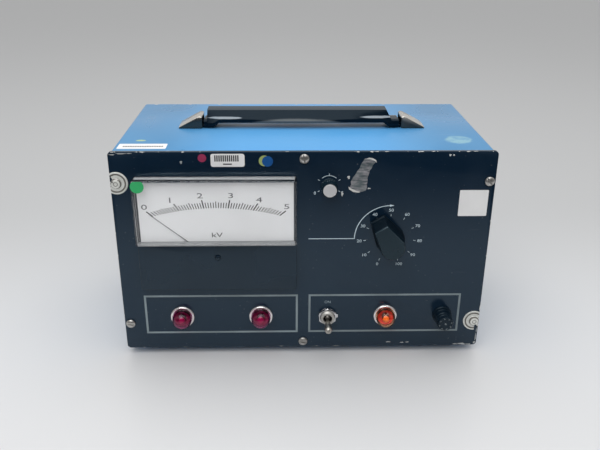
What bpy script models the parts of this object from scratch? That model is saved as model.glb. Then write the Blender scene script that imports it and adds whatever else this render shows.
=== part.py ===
"""A bench hipot tester: a 12 x 7 x 6 inch instrument cabinet with its front panel, meter, controls and inner works.

Metres, +Z up. The origin is on the table under the middle of the object, and the front panel faces -Y.
"""

import math

import bmesh
import bpy
from mathutils import Vector

MM = 0.001
INCH = 0.0254

# Clearances between pieces.
SEAT = 0.3 * MM
RUNNING = 0.28 * MM
HOLE_EASE = 0.35 * MM

# Cabinet: a folded steel wrap with a front and a rear flange, closed by a panel at each end.
PANEL_WIDTH = 12 * INCH
PANEL_HEIGHT = 7 * INCH
PANEL_THICK = 3.2 * MM
PANEL_CORNER = 3.2 * MM
PANEL_OVERHANG = 1.0 * MM
CASE_DEPTH = 6 * INCH
CASE_WALL = 1.3 * MM
CASE_BEND = 3.0 * MM
FLANGE_WIDTH = 12.7 * MM
REAR_PANEL_THICK = 1.3 * MM

# Rubber feet.
FOOT_HEIGHT = 7.1 * MM
FOOT_TOP_RADIUS = 8.0 * MM
FOOT_BOTTOM_RADIUS = 6.8 * MM
FOOT_STEM_RADIUS = 2.0 * MM
FOOT_STEM_RISE = 5.0 * MM
FOOT_INSET_X = 20 * MM
FOOT_INSET_Y = 20 * MM

# Slotted screws of the front and the rear panel.
SCREW_HEAD_RADIUS = 3.9 * MM
SCREW_HEAD_HEIGHT = 2.4 * MM
SCREW_SHANK_RADIUS = 2.05 * MM
SCREW_LENGTH = 9.5 * MM
SCREW_SLOT_WIDTH = 1.1 * MM
SCREW_SLOT_DEPTH = 1.1 * MM
SIDE_SCREW_INSET = 5.0 * MM
SIDE_SCREW_FROM_END = 24.8 * MM
MIDDLE_SCREW_INSET = 5.7 * MM
REAR_SCREW_INSET = 6.5 * MM

# Strap handle: a moulded grip on a thin strap, whose ends slide in two sloping end caps.
HANDLE_CAP_FROM_SIDE = 65.4 * MM
HANDLE_CAP_LENGTH = 20.5 * MM
HANDLE_CAP_WIDTH = 21 * MM
HANDLE_CAP_HEIGHT = 11 * MM
HANDLE_CAP_TIP = 1.3 * MM
HANDLE_CAP_WALL = 1.4 * MM
HANDLE_CAP_PEAK_AT = 2.2 * MM
HANDLE_CAP_HOLLOW = 12.5 * MM
HANDLE_STUD_RADIUS = 2.0 * MM
HANDLE_STUD_DROP = 6.5 * MM
STRAP_WIDTH = 14 * MM
STRAP_THICK = 2.4 * MM
STRAP_IN_CAP = 8.0 * MM
GRIP_LEFT_GAP = 4.5 * MM
GRIP_RIGHT_GAP = 5.0 * MM
GRIP_RIGHT_SLOPE = 8.0 * MM
GRIP_END_BLOCK = 5.0 * MM
GRIP_UNDERSIDE = 4.6 * MM
GRIP_TOP = 16.0 * MM
GRIP_WIDTH = 21 * MM
GRIP_TOP_WIDTH = 13.5 * MM
GRIP_SWELL = 3.0 * MM
GRIP_SWELL_HALF_LENGTH = 44 * MM
GRIP_ROUNDING = 1.6 * MM

# The front panel's layout: a left and a right field, side margins and a gap between the fields.
SIDE_MARGIN = 18.0 * MM
FIELD_GAP = 9.2 * MM
FIELD_WIDTH = PANEL_WIDTH / 2 - SIDE_MARGIN - FIELD_GAP / 2
FIELD_MIDDLE = (FIELD_GAP + FIELD_WIDTH) / 2
CONTROL_ROW_Z = 31.0 * MM
LAMP_SPREAD = 33.4 * MM
RIGHT_SHIFT = 1.0 * MM
TOGGLE_FROM_FIELD = 16.2 * MM
FUSE_FROM_FIELD = 14.8 * MM
LEAK_POT_FROM_FIELD = 15.2 * MM
LEAK_POT_FROM_TOP = 28.2 * MM
VARIAC_ABOVE_ROW = 72.4 * MM
LAMP_PLACES = {
    "arc_lamp": -FIELD_MIDDLE - LAMP_SPREAD,
    "leak_lamp": -FIELD_MIDDLE + LAMP_SPREAD,
    "supply_lamp": FIELD_MIDDLE + RIGHT_SHIFT,
}
TOGGLE_X = FIELD_GAP / 2 + TOGGLE_FROM_FIELD
FUSE_X = FIELD_GAP / 2 + FIELD_WIDTH - FUSE_FROM_FIELD
LEAK_POT_X = FIELD_GAP / 2 + LEAK_POT_FROM_FIELD
LEAK_POT_Z = PANEL_HEIGHT - LEAK_POT_FROM_TOP
VARIAC_X = FIELD_MIDDLE + RIGHT_SHIFT
VARIAC_Z = CONTROL_ROW_Z + VARIAC_ABOVE_ROW

# Panel meter.
METER_SHORTFALL = 1.2 * MM
METER_WIDTH = FIELD_WIDTH - METER_SHORTFALL
METER_X = SIDE_MARGIN + METER_WIDTH / 2 - PANEL_WIDTH / 2
METER_LOW = 59.6 * MM
METER_TOP_MARGIN = 20.0 * MM
METER_HIGH = PANEL_HEIGHT - METER_TOP_MARGIN
METER_LOWER_HEIGHT = 43.0 * MM
METER_WINDOW_LOW = METER_LOW + METER_LOWER_HEIGHT
METER_CORNER = 1.6 * MM
METER_BASE_THICK = 1.0 * MM
METER_COVER_PROUD = 12.0 * MM
METER_COVER_WALL = 2.0 * MM
METER_LOWER_PROUD = 5.6 * MM
METER_LOWER_WALL = 1.5 * MM
METER_BARREL_RADIUS = 35.0 * MM
METER_BARREL_WALL = 2.0 * MM
METER_BARREL_DEPTH = 30.0 * MM
PIVOT_ABOVE_LOW = 24.4 * MM
METER_PIVOT_Z = METER_LOW + PIVOT_ABOVE_LOW
BARREL_ABOVE_PIVOT = 16.0 * MM
METER_BARREL_Z = METER_PIVOT_Z + BARREL_ABOVE_PIVOT
ZERO_ABOVE_PIVOT = 5.5 * MM
METER_ZERO_Z = METER_PIVOT_Z + ZERO_ABOVE_PIVOT
METER_STUD_RADIUS = 1.9 * MM
METER_STUD_LENGTH = 12.0 * MM
METER_STUD_INSET = 12.0 * MM
METER_TERMINAL_RADIUS = 2.2 * MM
METER_TERMINAL_LENGTH = 8.0 * MM
METER_TERMINAL_X = 12.0 * MM
DIAL_INSET = 2.8 * MM
DIAL_THICK = 0.6 * MM
DIAL_FOOT = 6.4 * MM
DIAL_NOTCH_RADIUS = 13.0 * MM
MOVEMENT_RADIUS = 12.4 * MM
MOVEMENT_FRONT_RADIUS = 11.0 * MM
MOVEMENT_FRONT_STEP = 6.0 * MM
NEEDLE_SWING = math.radians(102)
NEEDLE_SIDE_ROOM = 9.7 * MM
NEEDLE_TOP_ROOM = 4.2 * MM
NEEDLE_LENGTH = min(
    (METER_WIDTH / 2 - METER_COVER_WALL - NEEDLE_SIDE_ROOM) / math.sin(NEEDLE_SWING / 2),
    METER_HIGH - METER_COVER_WALL - NEEDLE_TOP_ROOM - METER_PIVOT_Z,
)
NEEDLE_TAIL = 9.0 * MM
NEEDLE_ROOT_WIDTH = 1.6 * MM
NEEDLE_TIP_WIDTH = 0.6 * MM
NEEDLE_THICK = 0.4 * MM
NEEDLE_ABOVE_DIAL = 0.7 * MM
NEEDLE_HUB_RADIUS = 2.6 * MM
NEEDLE_STAFF_RADIUS = 0.7 * MM
NEEDLE_STAFF_LENGTH = 5.0 * MM
ZERO_SCREW_RADIUS = 2.4 * MM

# Pilot lamps: a low chrome bezel, a tall domed lens and a socket screwed on from behind.
# A fullness of 1 makes the dome an ellipse, and less makes its shoulder squarer.
LAMP_BEZEL_RADIUS = 10.25 * MM
LAMP_BEZEL_FRONT_RADIUS = 9.5 * MM
LAMP_BEZEL_PROUD = 2.2 * MM
LAMP_TUBE_RADIUS = 8.0 * MM
LAMP_TUBE_BORE = 7.3 * MM
LAMP_TUBE_DEPTH = 10.0 * MM
LAMP_LENS_RADIUS = 8.2 * MM
LAMP_LENS_SEAT = 0.9 * MM
LAMP_LENS_RIM = 3.6 * MM
LAMP_LENS_PROUD = 12.8 * MM
LAMP_LENS_FULLNESS = 0.8
LAMP_LENS_WALL = 1.2 * MM
LAMP_SOCKET_RADIUS = 9.3 * MM
LAMP_COLLAR_RADIUS = 10.6 * MM
LAMP_COLLAR_THICK = 2.6 * MM
LAMP_SOCKET_DEPTH = 24.0 * MM
LAMP_BULB_RADIUS = 3.0 * MM
LAMP_BULB_TOP = 8.4 * MM

# Power toggle switch.
TOGGLE_BODY_WIDTH = 12.7 * MM
TOGGLE_BODY_HEIGHT = 28.0 * MM
TOGGLE_BODY_DEPTH = 15.0 * MM
TOGGLE_BUSHING_RADIUS = 5.95 * MM
TOGGLE_BUSHING_PROUD = 6.4 * MM
TOGGLE_BORE = 3.7 * MM
TOGGLE_BORE_DEPTH = 8.8 * MM
TOGGLE_PIVOT_OUT = 1.5 * MM
TOGGLE_LEVER_LENGTH = 19.3 * MM
TOGGLE_LEVER_TAIL = 7.4 * MM
TOGGLE_LEVER_NECK = 1.5 * MM
TOGGLE_BALL_RADIUS = 3.3 * MM
TOGGLE_BAT_RADIUS = 3.2 * MM
TOGGLE_THROW = math.radians(30)
TOGGLE_WASHER_RADIUS = 7.4 * MM
TOGGLE_WASHER_THICK = 0.6 * MM
TOGGLE_TAB_LENGTH = 1.6 * MM
TOGGLE_TAB_WIDTH = 3.4 * MM
TOGGLE_NUT_FLATS = 14.3 * MM
TOGGLE_NUT_THICK = 2.4 * MM

# Leakage potentiometer and its small knob.
POT_CAN_RADIUS = 12.0 * MM
POT_CAN_DEPTH = 12.5 * MM
POT_BUSHING_RADIUS = 4.75 * MM
POT_BUSHING_PROUD = 4.4 * MM
POT_SHAFT_RADIUS = 3.17 * MM
POT_SHAFT_DEPTH = 10.0 * MM
POT_SHAFT_PROUD = 10.0 * MM
POT_NUT_FLATS = 11.1 * MM
POT_NUT_THICK = 2.0 * MM
LEAK_KNOB_BASE_RADIUS = 6.9 * MM
LEAK_KNOB_FRONT_RADIUS = 6.2 * MM
LEAK_KNOB_TOP = 12.0 * MM
LEAK_KNOB_CAP_RADIUS = 5.3 * MM
LEAK_KNOB_CAP_THICK = 0.8 * MM

# Variable transformer and its pointer knob.
VARIAC_BASE_RADIUS = 36.0 * MM
VARIAC_BASE_THICK = 4.0 * MM
VARIAC_BUSHING_RADIUS = 7.0 * MM
VARIAC_BUSHING_PROUD = 3.6 * MM
VARIAC_SHAFT_RADIUS = 3.95 * MM
VARIAC_SHAFT_PROUD = 17.0 * MM
VARIAC_NUT_FLATS = 19.0 * MM
VARIAC_NUT_THICK = 2.6 * MM
VARIAC_HUB_RADIUS = 12.0 * MM
VARIAC_CORE_RADIUS = 38.0 * MM
VARIAC_CORE_BORE = 19.0 * MM
VARIAC_CORE_HEIGHT = 32.0 * MM
VARIAC_CORE_ROUNDING = 5.0 * MM
VARIAC_ARM_REACH = 33.0 * MM
VARIAC_ARM_WIDTH = 9.0 * MM
VARIAC_ARM_THICK = 3.0 * MM
VARIAC_ARM_HUB_RADIUS = 8.0 * MM
VARIAC_BRUSH_HEIGHT = 4.0 * MM
VARIAC_BRUSH_LENGTH = 7.0 * MM
VARIAC_SHAFT_TAIL = 2.0 * MM
VARIAC_KNOB_TOP = 21.5 * MM
VARIAC_KNOB_LOW = 0.9 * MM
VARIAC_KNOB_SKIRT = 4.0 * MM
VARIAC_KNOB_HUB_RADIUS = 13.2 * MM
VARIAC_KNOB_REACH = 21.0 * MM
VARIAC_KNOB_NOSE_WIDTH = 11.4 * MM
VARIAC_KNOB_SKIRT_LIP = 0.9 * MM
VARIAC_KNOB_DRAFT = 1.2 * MM
VARIAC_KNOB_CHAMFER = 1.4 * MM
VARIAC_ZERO_ANGLE = math.radians(248.4)
VARIAC_TRAVEL = math.radians(317)
VARIAC_SETTING = 0.40

# Panel fuse holder with a bayonet cap that carries the fuse.
FUSE_RADIUS = 3.17 * MM
FUSE_LENGTH = 31.75 * MM
HOLDER_FLANGE_RADIUS = 8.4 * MM
HOLDER_FLANGE_THICK = 1.9 * MM
HOLDER_NECK_RADIUS = 7.6 * MM
HOLDER_NECK_PROUD = 4.9 * MM
HOLDER_BARREL_RADIUS = 6.25 * MM
HOLDER_BORE = 4.6 * MM
HOLDER_TAIL = 3.5 * MM
HOLDER_NUT_FLATS = 17.5 * MM
HOLDER_NUT_THICK = 3.0 * MM
FUSE_CAP_RADIUS = 7.35 * MM
FUSE_CAP_FACE = 6.5 * MM
FUSE_CAP_DISH = 0.5 * MM
FUSE_CAP_FRONT = 16.5 * MM
FUSE_CAP_GROOVE = 0.7 * MM
FUSE_CAP_PLUG = 4.3 * MM
FUSE_CAP_GRIP = 2.0 * MM
FUSE_CAP_NOTCHES = 8

# High-voltage transformer on the cabinet floor.
TRANSFORMER_FROM_SIDE = 76.4 * MM
TRANSFORMER_FROM_REAR = 52.4 * MM
CORE_WIDTH = 75.0 * MM
CORE_HEIGHT = 62.5 * MM
CORE_STACK = 38.0 * MM
CORE_LEG = 25.0 * MM
CORE_YOKE = 12.5 * MM
COIL_BULGE = 11.0 * MM

# Circuit board with its relay and capacitor, on spacers on the cabinet floor.
BOARD_FROM_SIDE = 80.4 * MM
BOARD_FROM_REAR = 54.4 * MM
BOARD_WIDTH = 96.0 * MM
BOARD_DEPTH = 70.0 * MM
BOARD_THICK = 1.6 * MM
BOARD_SPACER_RADIUS = 3.2 * MM
BOARD_SPACER_HEIGHT = 7.0 * MM
BOARD_SPACER_INSET = 6.0 * MM
RELAY_SIZE = (28 * MM, 20 * MM, 24 * MM)
RELAY_FROM_BOARD_CENTRE = -22 * MM
CAPACITOR_RADIUS = 9.0 * MM
CAPACITOR_HEIGHT = 26.0 * MM
CAPACITOR_FROM_BOARD_CENTRE = 24 * MM

# Bushings in the rear panel, for the supply cord and for the test leads.
BUSHING_Z = 25.0 * MM
BUSHING_FROM_SIDE = 51.4 * MM
BUSHING_FLANGE_RADIUS = 11.0 * MM
BUSHING_FLANGE_THICK = 3.0 * MM
BUSHING_NOSE_RADIUS = 8.0 * MM
BUSHING_PROUD = 8.0 * MM
BUSHING_BARREL_RADIUS = 7.7 * MM
BUSHING_BARREL_DEPTH = 8.0 * MM
BUSHING_BORE = 4.2 * MM

# Facets on a full turn.
FINE = 36
MEDIUM = 20
COARSE = 14
SMALL = 10
WELD = 0.001 * MM

# Where the panels stand, worked out from the sizes above.
WHOLE_DEPTH = (VARIAC_KNOB_TOP + PANEL_THICK + SEAT + CASE_DEPTH + SEAT + REAR_PANEL_THICK + BUSHING_PROUD)
PANEL_FACE_Y = -WHOLE_DEPTH / 2 + VARIAC_KNOB_TOP
CASE_FRONT_Y = PANEL_FACE_Y + PANEL_THICK + SEAT
CASE_REAR_Y = CASE_FRONT_Y + CASE_DEPTH
CASE_WIDTH = PANEL_WIDTH - 2 * PANEL_OVERHANG
CASE_HEIGHT = PANEL_HEIGHT - 2 * PANEL_OVERHANG
CASE_BOTTOM = FOOT_HEIGHT
CASE_TOP = CASE_BOTTOM + CASE_HEIGHT
PANEL_BOTTOM = CASE_BOTTOM - PANEL_OVERHANG
REAR_FACE_Y = CASE_REAR_Y + SEAT + REAR_PANEL_THICK
BUSHING_PLACES = {
    "supply_cord_bushing": BUSHING_FROM_SIDE - CASE_WIDTH / 2,
    "test_lead_bushing": CASE_WIDTH / 2 - BUSHING_FROM_SIDE,
}
HANDLE_CAP_FROM_CENTRE = CASE_WIDTH / 2 - HANDLE_CAP_FROM_SIDE
BEHIND_PANEL = -PANEL_THICK - SEAT
FLOOR = CASE_BOTTOM + CASE_WALL + SEAT

# Heights out of the front panel's face that several meter pieces share.
METER_BASE_FRONT = SEAT + METER_BASE_THICK
DIAL_BACK = METER_BASE_FRONT + SEAT
DIAL_FACE = DIAL_BACK + DIAL_THICK
NEEDLE_BACK = DIAL_FACE + NEEDLE_ABOVE_DIAL
NEEDLE_FRONT = NEEDLE_BACK + NEEDLE_THICK
METER_MIDDLE_Z = (METER_LOW + METER_HIGH) / 2


def clear_scene():
    for old in list(bpy.data.objects):
        bpy.data.objects.remove(old, do_unlink=True)


def finish_material(name, colour, roughness, metallic=0.0, transmission=0.0):
    material = bpy.data.materials.new(name)
    material.use_nodes = True
    shader = material.node_tree.nodes["Principled BSDF"]
    shader.inputs["Base Color"].default_value = (*colour, 1.0)
    shader.inputs["Roughness"].default_value = roughness
    shader.inputs["Metallic"].default_value = metallic
    shader.inputs["Transmission Weight"].default_value = transmission
    material.diffuse_color = (*colour, 1.0)
    return material


# Outlines, as lists of (x, y) points that run anticlockwise.

def arc(radius, start, end, steps, centre=(0.0, 0.0)):
    turns = [start + (end - start) * i / steps for i in range(steps + 1)]
    return [(centre[0] + radius * math.cos(a), centre[1] + radius * math.sin(a)) for a in turns]


def circle(radius, count, centre=(0.0, 0.0)):
    return arc(radius, 0, 2 * math.pi, count, centre)[:-1]


def hexagon(flats):
    return circle(flats / math.sqrt(3), 6)


def rectangle(width, height, centre=(0.0, 0.0)):
    x, y = width / 2, height / 2
    return [(centre[0] + a, centre[1] + b) for a, b in ((-x, -y), (x, -y), (x, y), (-x, y))]


def rounded_rectangle(width, height, radius, steps=3, centre=(0.0, 0.0)):
    points = []
    for quarter, (side_x, side_y) in enumerate(((1, 1), (-1, 1), (-1, -1), (1, -1))):
        corner = (centre[0] + side_x * (width / 2 - radius), centre[1] + side_y * (height / 2 - radius))
        points += arc(radius, quarter * math.pi / 2, (quarter + 1) * math.pi / 2, steps, corner)
    return points


# Solids, added to a bmesh.

def loft(bm, loops, ring=False):
    """Joins loops of equally many points with faces, and closes the ends with caps or to each other."""
    rows = [[bm.verts.new(point) for point in loop] for loop in loops]
    pairs = list(zip(rows, rows[1:]))
    if ring:
        pairs.append((rows[-1], rows[0]))
    for low, high in pairs:
        for i in range(len(low)):
            j = (i + 1) % len(low)
            bm.faces.new((low[i], low[j], high[j], high[i]))
    if not ring:
        bm.faces.new(list(reversed(rows[0])))
        bm.faces.new(rows[-1])


def prism(bm, outline, low, high):
    loft(bm, [[(x, y, z) for x, y in outline] for z in (low, high)])


def box(bm, size, centre):
    made = bmesh.ops.create_cube(bm, size=1.0)
    bmesh.ops.scale(bm, verts=made["verts"], vec=size)
    bmesh.ops.translate(bm, verts=made["verts"], vec=centre)


def turned(bm, profile, segments, centre=(0.0, 0.0)):
    """Spins (radius, height) points about a line along Z. A profile off that line closes on itself."""
    points = [bm.verts.new((centre[0] + radius, centre[1], height)) for radius, height in profile]
    edges = [bm.edges.new(pair) for pair in zip(points, points[1:])]
    if profile[0][0] > 0:
        edges.append(bm.edges.new((points[-1], points[0])))
    bmesh.ops.spin(
        bm,
        geom=points + edges,
        cent=(*centre, 0.0),
        axis=(0.0, 0.0, 1.0),
        angle=2 * math.pi,
        steps=segments,
        use_merge=True,
    )


# Objects.

def new_object(name, bm, parent=None, location=(0, 0, 0), rotation=(0, 0, 0)):
    bmesh.ops.remove_doubles(bm, verts=bm.verts, dist=WELD)
    bmesh.ops.recalc_face_normals(bm, faces=bm.faces)
    mesh = bpy.data.meshes.new(name)
    bm.to_mesh(mesh)
    bm.free()
    mesh.shade_smooth()
    mesh.set_sharp_from_angle(angle=math.radians(35))
    return place_mesh(name, mesh, parent, location, rotation)


def place_mesh(name, mesh, parent=None, location=(0, 0, 0), rotation=(0, 0, 0)):
    placed = bpy.data.objects.new(name, mesh)
    bpy.context.scene.collection.objects.link(placed)
    placed.parent = parent
    placed.location = location
    placed.rotation_euler = rotation
    return placed


def give_finish(piece, look):
    """Gives one piece a material of its own, on the object, so that pieces that share a mesh can differ."""
    colour, roughness, metallic, transmission = look
    if not piece.data.materials:
        piece.data.materials.append(None)
    slot = piece.material_slots[0]
    slot.link = "OBJECT"
    slot.material = finish_material(piece.name + "_finish", colour, roughness, metallic, transmission)


def helper(bm, target, purpose):
    """A hidden solid in the same place as the piece that it cuts or joins."""
    tool = new_object(f"{target.name}_{purpose}", bm, target.parent, target.location, target.rotation_euler)
    tool.hide_render = True
    tool.display_type = "WIRE"
    return tool


def boolean(target, bm, purpose, operation):
    modifier = target.modifiers.new(purpose, "BOOLEAN")
    modifier.object = helper(bm, target, purpose)
    modifier.operation = operation
    modifier.solver = "EXACT"


def cut(target, bm, purpose):
    boolean(target, bm, purpose, "DIFFERENCE")


def join(target, bm, purpose):
    boolean(target, bm, purpose, "UNION")


def baked_mesh(piece):
    """The piece's mesh with its modifiers applied, for copies to share."""
    graph = bpy.context.evaluated_depsgraph_get()
    mesh = bpy.data.meshes.new_from_object(piece.evaluated_get(graph))
    mesh.name = piece.name + "_shared"
    return mesh


def empty(name, location, rotation):
    frame = bpy.data.objects.new(name, None)
    bpy.context.scene.collection.objects.link(frame)
    frame.location = location
    frame.rotation_euler = rotation
    return frame


# Finishes as (colour, roughness, metallic, transmission).
BLUE_PAINT = ((0.18, 0.36, 0.56), 0.45, 0.0, 0.0)
PANEL_PAINT = ((0.020, 0.030, 0.045), 0.25, 0.0, 0.0)
BLACK_PLASTIC = ((0.012, 0.013, 0.016), 0.3, 0.0, 0.0)
BLACK_RUBBER = ((0.02, 0.02, 0.02), 0.8, 0.0, 0.0)
NICKEL = ((0.62, 0.60, 0.56), 0.25, 1.0, 0.0)
CHROME = ((0.75, 0.75, 0.76), 0.12, 1.0, 0.0)
STEEL = ((0.45, 0.45, 0.45), 0.4, 1.0, 0.0)
CLEAR = ((0.95, 0.97, 0.97), 0.05, 0.0, 1.0)
WHITE_CARD = ((0.82, 0.82, 0.82), 0.6, 0.0, 0.0)
PLUM_LENS = ((0.22, 0.02, 0.09), 0.12, 0.0, 0.3)
AMBER_LENS = ((0.60, 0.05, 0.02), 0.12, 0.0, 0.3)
COPPER = ((0.55, 0.22, 0.09), 0.4, 1.0, 0.0)
LAMINATIONS = ((0.10, 0.10, 0.11), 0.55, 0.8, 0.0)
BOARD_GREEN = ((0.05, 0.19, 0.09), 0.5, 0.0, 0.0)
GLASS_TUBE = ((0.75, 0.8, 0.8), 0.1, 0.0, 0.8)


def panel_screw_places():
    """The six front screws, from the panel's middle line and its lower edge."""
    side = PANEL_WIDTH / 2 - SIDE_SCREW_INSET
    low = SIDE_SCREW_FROM_END
    high = PANEL_HEIGHT - SIDE_SCREW_FROM_END
    return {
        "panel_screw_top": (0.0, PANEL_HEIGHT - MIDDLE_SCREW_INSET),
        "panel_screw_bottom": (0.0, MIDDLE_SCREW_INSET),
        "panel_screw_left_upper": (-side, high),
        "panel_screw_left_lower": (-side, low),
        "panel_screw_right_upper": (side, high),
        "panel_screw_right_lower": (side, low),
    }


def rear_screw_places():
    """The four rear screws, from the rear panel's middle line and lower edge."""
    side = CASE_WIDTH / 2 - REAR_SCREW_INSET
    return {
        f"rear_screw_{across}_{level}": (x, z)
        for across, x in (("left", -side), ("right", side))
        for level, z in (("lower", REAR_SCREW_INSET), ("upper", CASE_HEIGHT - REAR_SCREW_INSET))
    }


def foot_places():
    side = CASE_WIDTH / 2 - FOOT_INSET_X
    return {
        f"foot_{end}_{across}": (x, y)
        for across, x in (("left", -side), ("right", side))
        for end, y in (("front", CASE_FRONT_Y + FOOT_INSET_Y), ("rear", CASE_REAR_Y - FOOT_INSET_Y))
    }


def handle_middle():
    return (CASE_FRONT_Y + CASE_REAR_Y) / 2


def handle_stud_x():
    return HANDLE_CAP_FROM_CENTRE + (HANDLE_CAP_HOLLOW + HANDLE_CAP_LENGTH) / 2


# Cabinet.

def make_case():
    """The wrap is a C section that runs round the four sides, with its flanges turned inward."""
    inner = FLANGE_WIDTH
    profile = [
        (0.0, 0.0),
        (0.0, CASE_DEPTH),
        (inner, CASE_DEPTH),
        (inner, CASE_DEPTH - CASE_WALL),
        (CASE_WALL, CASE_DEPTH - CASE_WALL),
        (CASE_WALL, CASE_WALL),
        (inner, CASE_WALL),
        (inner, 0.0),
    ]
    middle_z = (CASE_BOTTOM + CASE_TOP) / 2
    loops = []
    for inset, depth in profile:
        radius = max(CASE_BEND - inset, CASE_WALL / 2)
        outline = rounded_rectangle(CASE_WIDTH - 2 * inset, CASE_HEIGHT - 2 * inset, radius)
        loops.append([(x, CASE_FRONT_Y + depth, middle_z + z) for x, z in outline])
    bm = bmesh.new()
    loft(bm, loops, ring=True)
    case = new_object("case_body", bm)
    cut(case, case_holes(), "holes")
    give_finish(case, BLUE_PAINT)


def case_holes():
    """Screw holes in both flanges, stud holes in the top and stem holes in the bottom."""
    bm = bmesh.new()
    screw = SCREW_SHANK_RADIUS + HOLE_EASE
    for x, z in panel_screw_places().values():
        drill_along_y(bm, x, PANEL_BOTTOM + z, screw, CASE_FRONT_Y)
    for x, z in rear_screw_places().values():
        drill_along_y(bm, x, CASE_BOTTOM + z, screw, CASE_REAR_Y)
    for x, y in foot_places().values():
        stem = circle(FOOT_STEM_RADIUS + HOLE_EASE, SMALL, (x, y))
        prism(bm, stem, CASE_BOTTOM - CASE_WALL, CASE_BOTTOM + 2 * CASE_WALL)
    for side in (-1, 1):
        stud = circle(HANDLE_STUD_RADIUS + HOLE_EASE, SMALL, (side * handle_stud_x(), handle_middle()))
        prism(bm, stud, CASE_TOP - 2 * CASE_WALL, CASE_TOP + CASE_WALL)
    return bm


def drill_along_y(bm, x, z, radius, middle):
    reach = 2 * CASE_WALL
    ring = circle(radius, SMALL, (x, z))
    loft(bm, [[(a, y, b) for a, b in ring] for y in (middle - reach, middle + reach)])


def make_front_panel(frame):
    bm = bmesh.new()
    outline = rounded_rectangle(PANEL_WIDTH, PANEL_HEIGHT, PANEL_CORNER, 4, (0, PANEL_HEIGHT / 2))
    prism(bm, outline, -PANEL_THICK, 0.0)
    panel = new_object("front_panel", bm, frame)
    cut(panel, front_panel_holes(), "holes")
    give_finish(panel, PANEL_PAINT)


def front_panel_holes():
    """Every hole has the radius of what passes through it, with the same ease all round."""
    row = CONTROL_ROW_Z
    holes = [(x, z, SCREW_SHANK_RADIUS, SMALL) for x, z in panel_screw_places().values()]
    holes += [(x, row, LAMP_TUBE_RADIUS, MEDIUM) for x in LAMP_PLACES.values()]
    holes += [
        (TOGGLE_X, row, TOGGLE_BUSHING_RADIUS, COARSE),
        (FUSE_X, row, HOLDER_BARREL_RADIUS, MEDIUM),
        (LEAK_POT_X, LEAK_POT_Z, POT_BUSHING_RADIUS, COARSE),
        (VARIAC_X, VARIAC_Z, VARIAC_BUSHING_RADIUS, MEDIUM),
        (METER_X, METER_BARREL_Z, METER_BARREL_RADIUS, FINE),
    ]
    for x, z in meter_stud_places():
        holes.append((METER_X + x, METER_MIDDLE_Z + z, METER_STUD_RADIUS, SMALL))
    bm = bmesh.new()
    for x, z, radius, count in holes:
        prism(bm, circle(radius + HOLE_EASE, count, (x, z)), -2 * PANEL_THICK, PANEL_THICK)
    return bm


def meter_stud_places():
    x = METER_WIDTH / 2 - METER_STUD_INSET
    z = (METER_HIGH - METER_LOW) / 2 - METER_STUD_INSET
    return [(-x, z), (x, z)]


def make_rear_panel(frame):
    bm = bmesh.new()
    outline = rounded_rectangle(CASE_WIDTH, CASE_HEIGHT, CASE_BEND, 3, (0, CASE_HEIGHT / 2))
    prism(bm, outline, -REAR_PANEL_THICK, 0.0)
    panel = new_object("rear_panel", bm, frame)
    holes = [(x, z, SCREW_SHANK_RADIUS, SMALL) for x, z in rear_screw_places().values()]
    holes += [(x, BUSHING_Z, BUSHING_BARREL_RADIUS, COARSE) for x in BUSHING_PLACES.values()]
    cutter = bmesh.new()
    for x, z, radius, count in holes:
        reach = 2 * REAR_PANEL_THICK
        prism(cutter, circle(radius + HOLE_EASE, count, (x, z)), -reach, reach)
    cut(panel, cutter, "holes")
    give_finish(panel, BLUE_PAINT)


def make_screws(front, rear):
    """Slotted round-head screws, all from one mesh."""
    head, height = SCREW_HEAD_RADIUS, SCREW_HEAD_HEIGHT
    bm = bmesh.new()
    turned(
        bm,
        [
            (0.0, SEAT + height),
            (0.6 * head, SEAT + 0.88 * height),
            (head, SEAT + 0.3 * height),
            (head, SEAT),
            (SCREW_SHANK_RADIUS, SEAT),
            (SCREW_SHANK_RADIUS, SEAT - SCREW_LENGTH),
            (0.0, SEAT - SCREW_LENGTH),
        ],
        SMALL,
    )
    pattern = new_object("screw_pattern", bm)
    slot = bmesh.new()
    box(slot, (4 * head, SCREW_SLOT_WIDTH, 2 * SCREW_SLOT_DEPTH), (0, 0, SEAT + height))
    cut(pattern, slot, "slot")
    mesh = baked_mesh(pattern)
    pattern.hide_render = True
    pattern.display_type = "WIRE"
    for turn, (name, (x, z)) in enumerate(panel_screw_places().items()):
        screw = place_mesh(name, mesh, front, (x, z, 0), (0, 0, 0.55 * turn))
        give_finish(screw, STEEL)
    for turn, (name, (x, z)) in enumerate(rear_screw_places().items()):
        screw = place_mesh(name, mesh, rear, (x, z, 0), (0, 0, 0.7 * turn))
        give_finish(screw, STEEL)


def make_feet():
    """A rubber foot with a barbed stem that is pushed through the bottom."""
    bottom = -FOOT_HEIGHT
    barb = FOOT_STEM_RADIUS + 2 * HOLE_EASE
    bm = bmesh.new()
    turned(
        bm,
        [
            (0.0, FOOT_STEM_RISE),
            (barb, CASE_WALL + SEAT),
            (FOOT_STEM_RADIUS, CASE_WALL + SEAT),
            (FOOT_STEM_RADIUS, -SEAT),
            (FOOT_TOP_RADIUS, -SEAT),
            (FOOT_BOTTOM_RADIUS, 0.9 * bottom),
            (0.94 * FOOT_BOTTOM_RADIUS, bottom),
            (0.0, bottom),
        ],
        COARSE,
    )
    pattern = new_object("foot_pattern", bm)
    pattern.hide_render = True
    pattern.display_type = "WIRE"
    for name, (x, y) in foot_places().items():
        foot = place_mesh(name, pattern.data, None, (x, y, CASE_BOTTOM))
        give_finish(foot, BLACK_RUBBER)


# Handle.

def cap_roof(x):
    """Height of the end cap's sloping top, x from its inner end."""
    share = (x - HANDLE_CAP_PEAK_AT) / (HANDLE_CAP_LENGTH - HANDLE_CAP_PEAK_AT)
    return HANDLE_CAP_HEIGHT + (HANDLE_CAP_TIP - HANDLE_CAP_HEIGHT) * share


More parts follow.
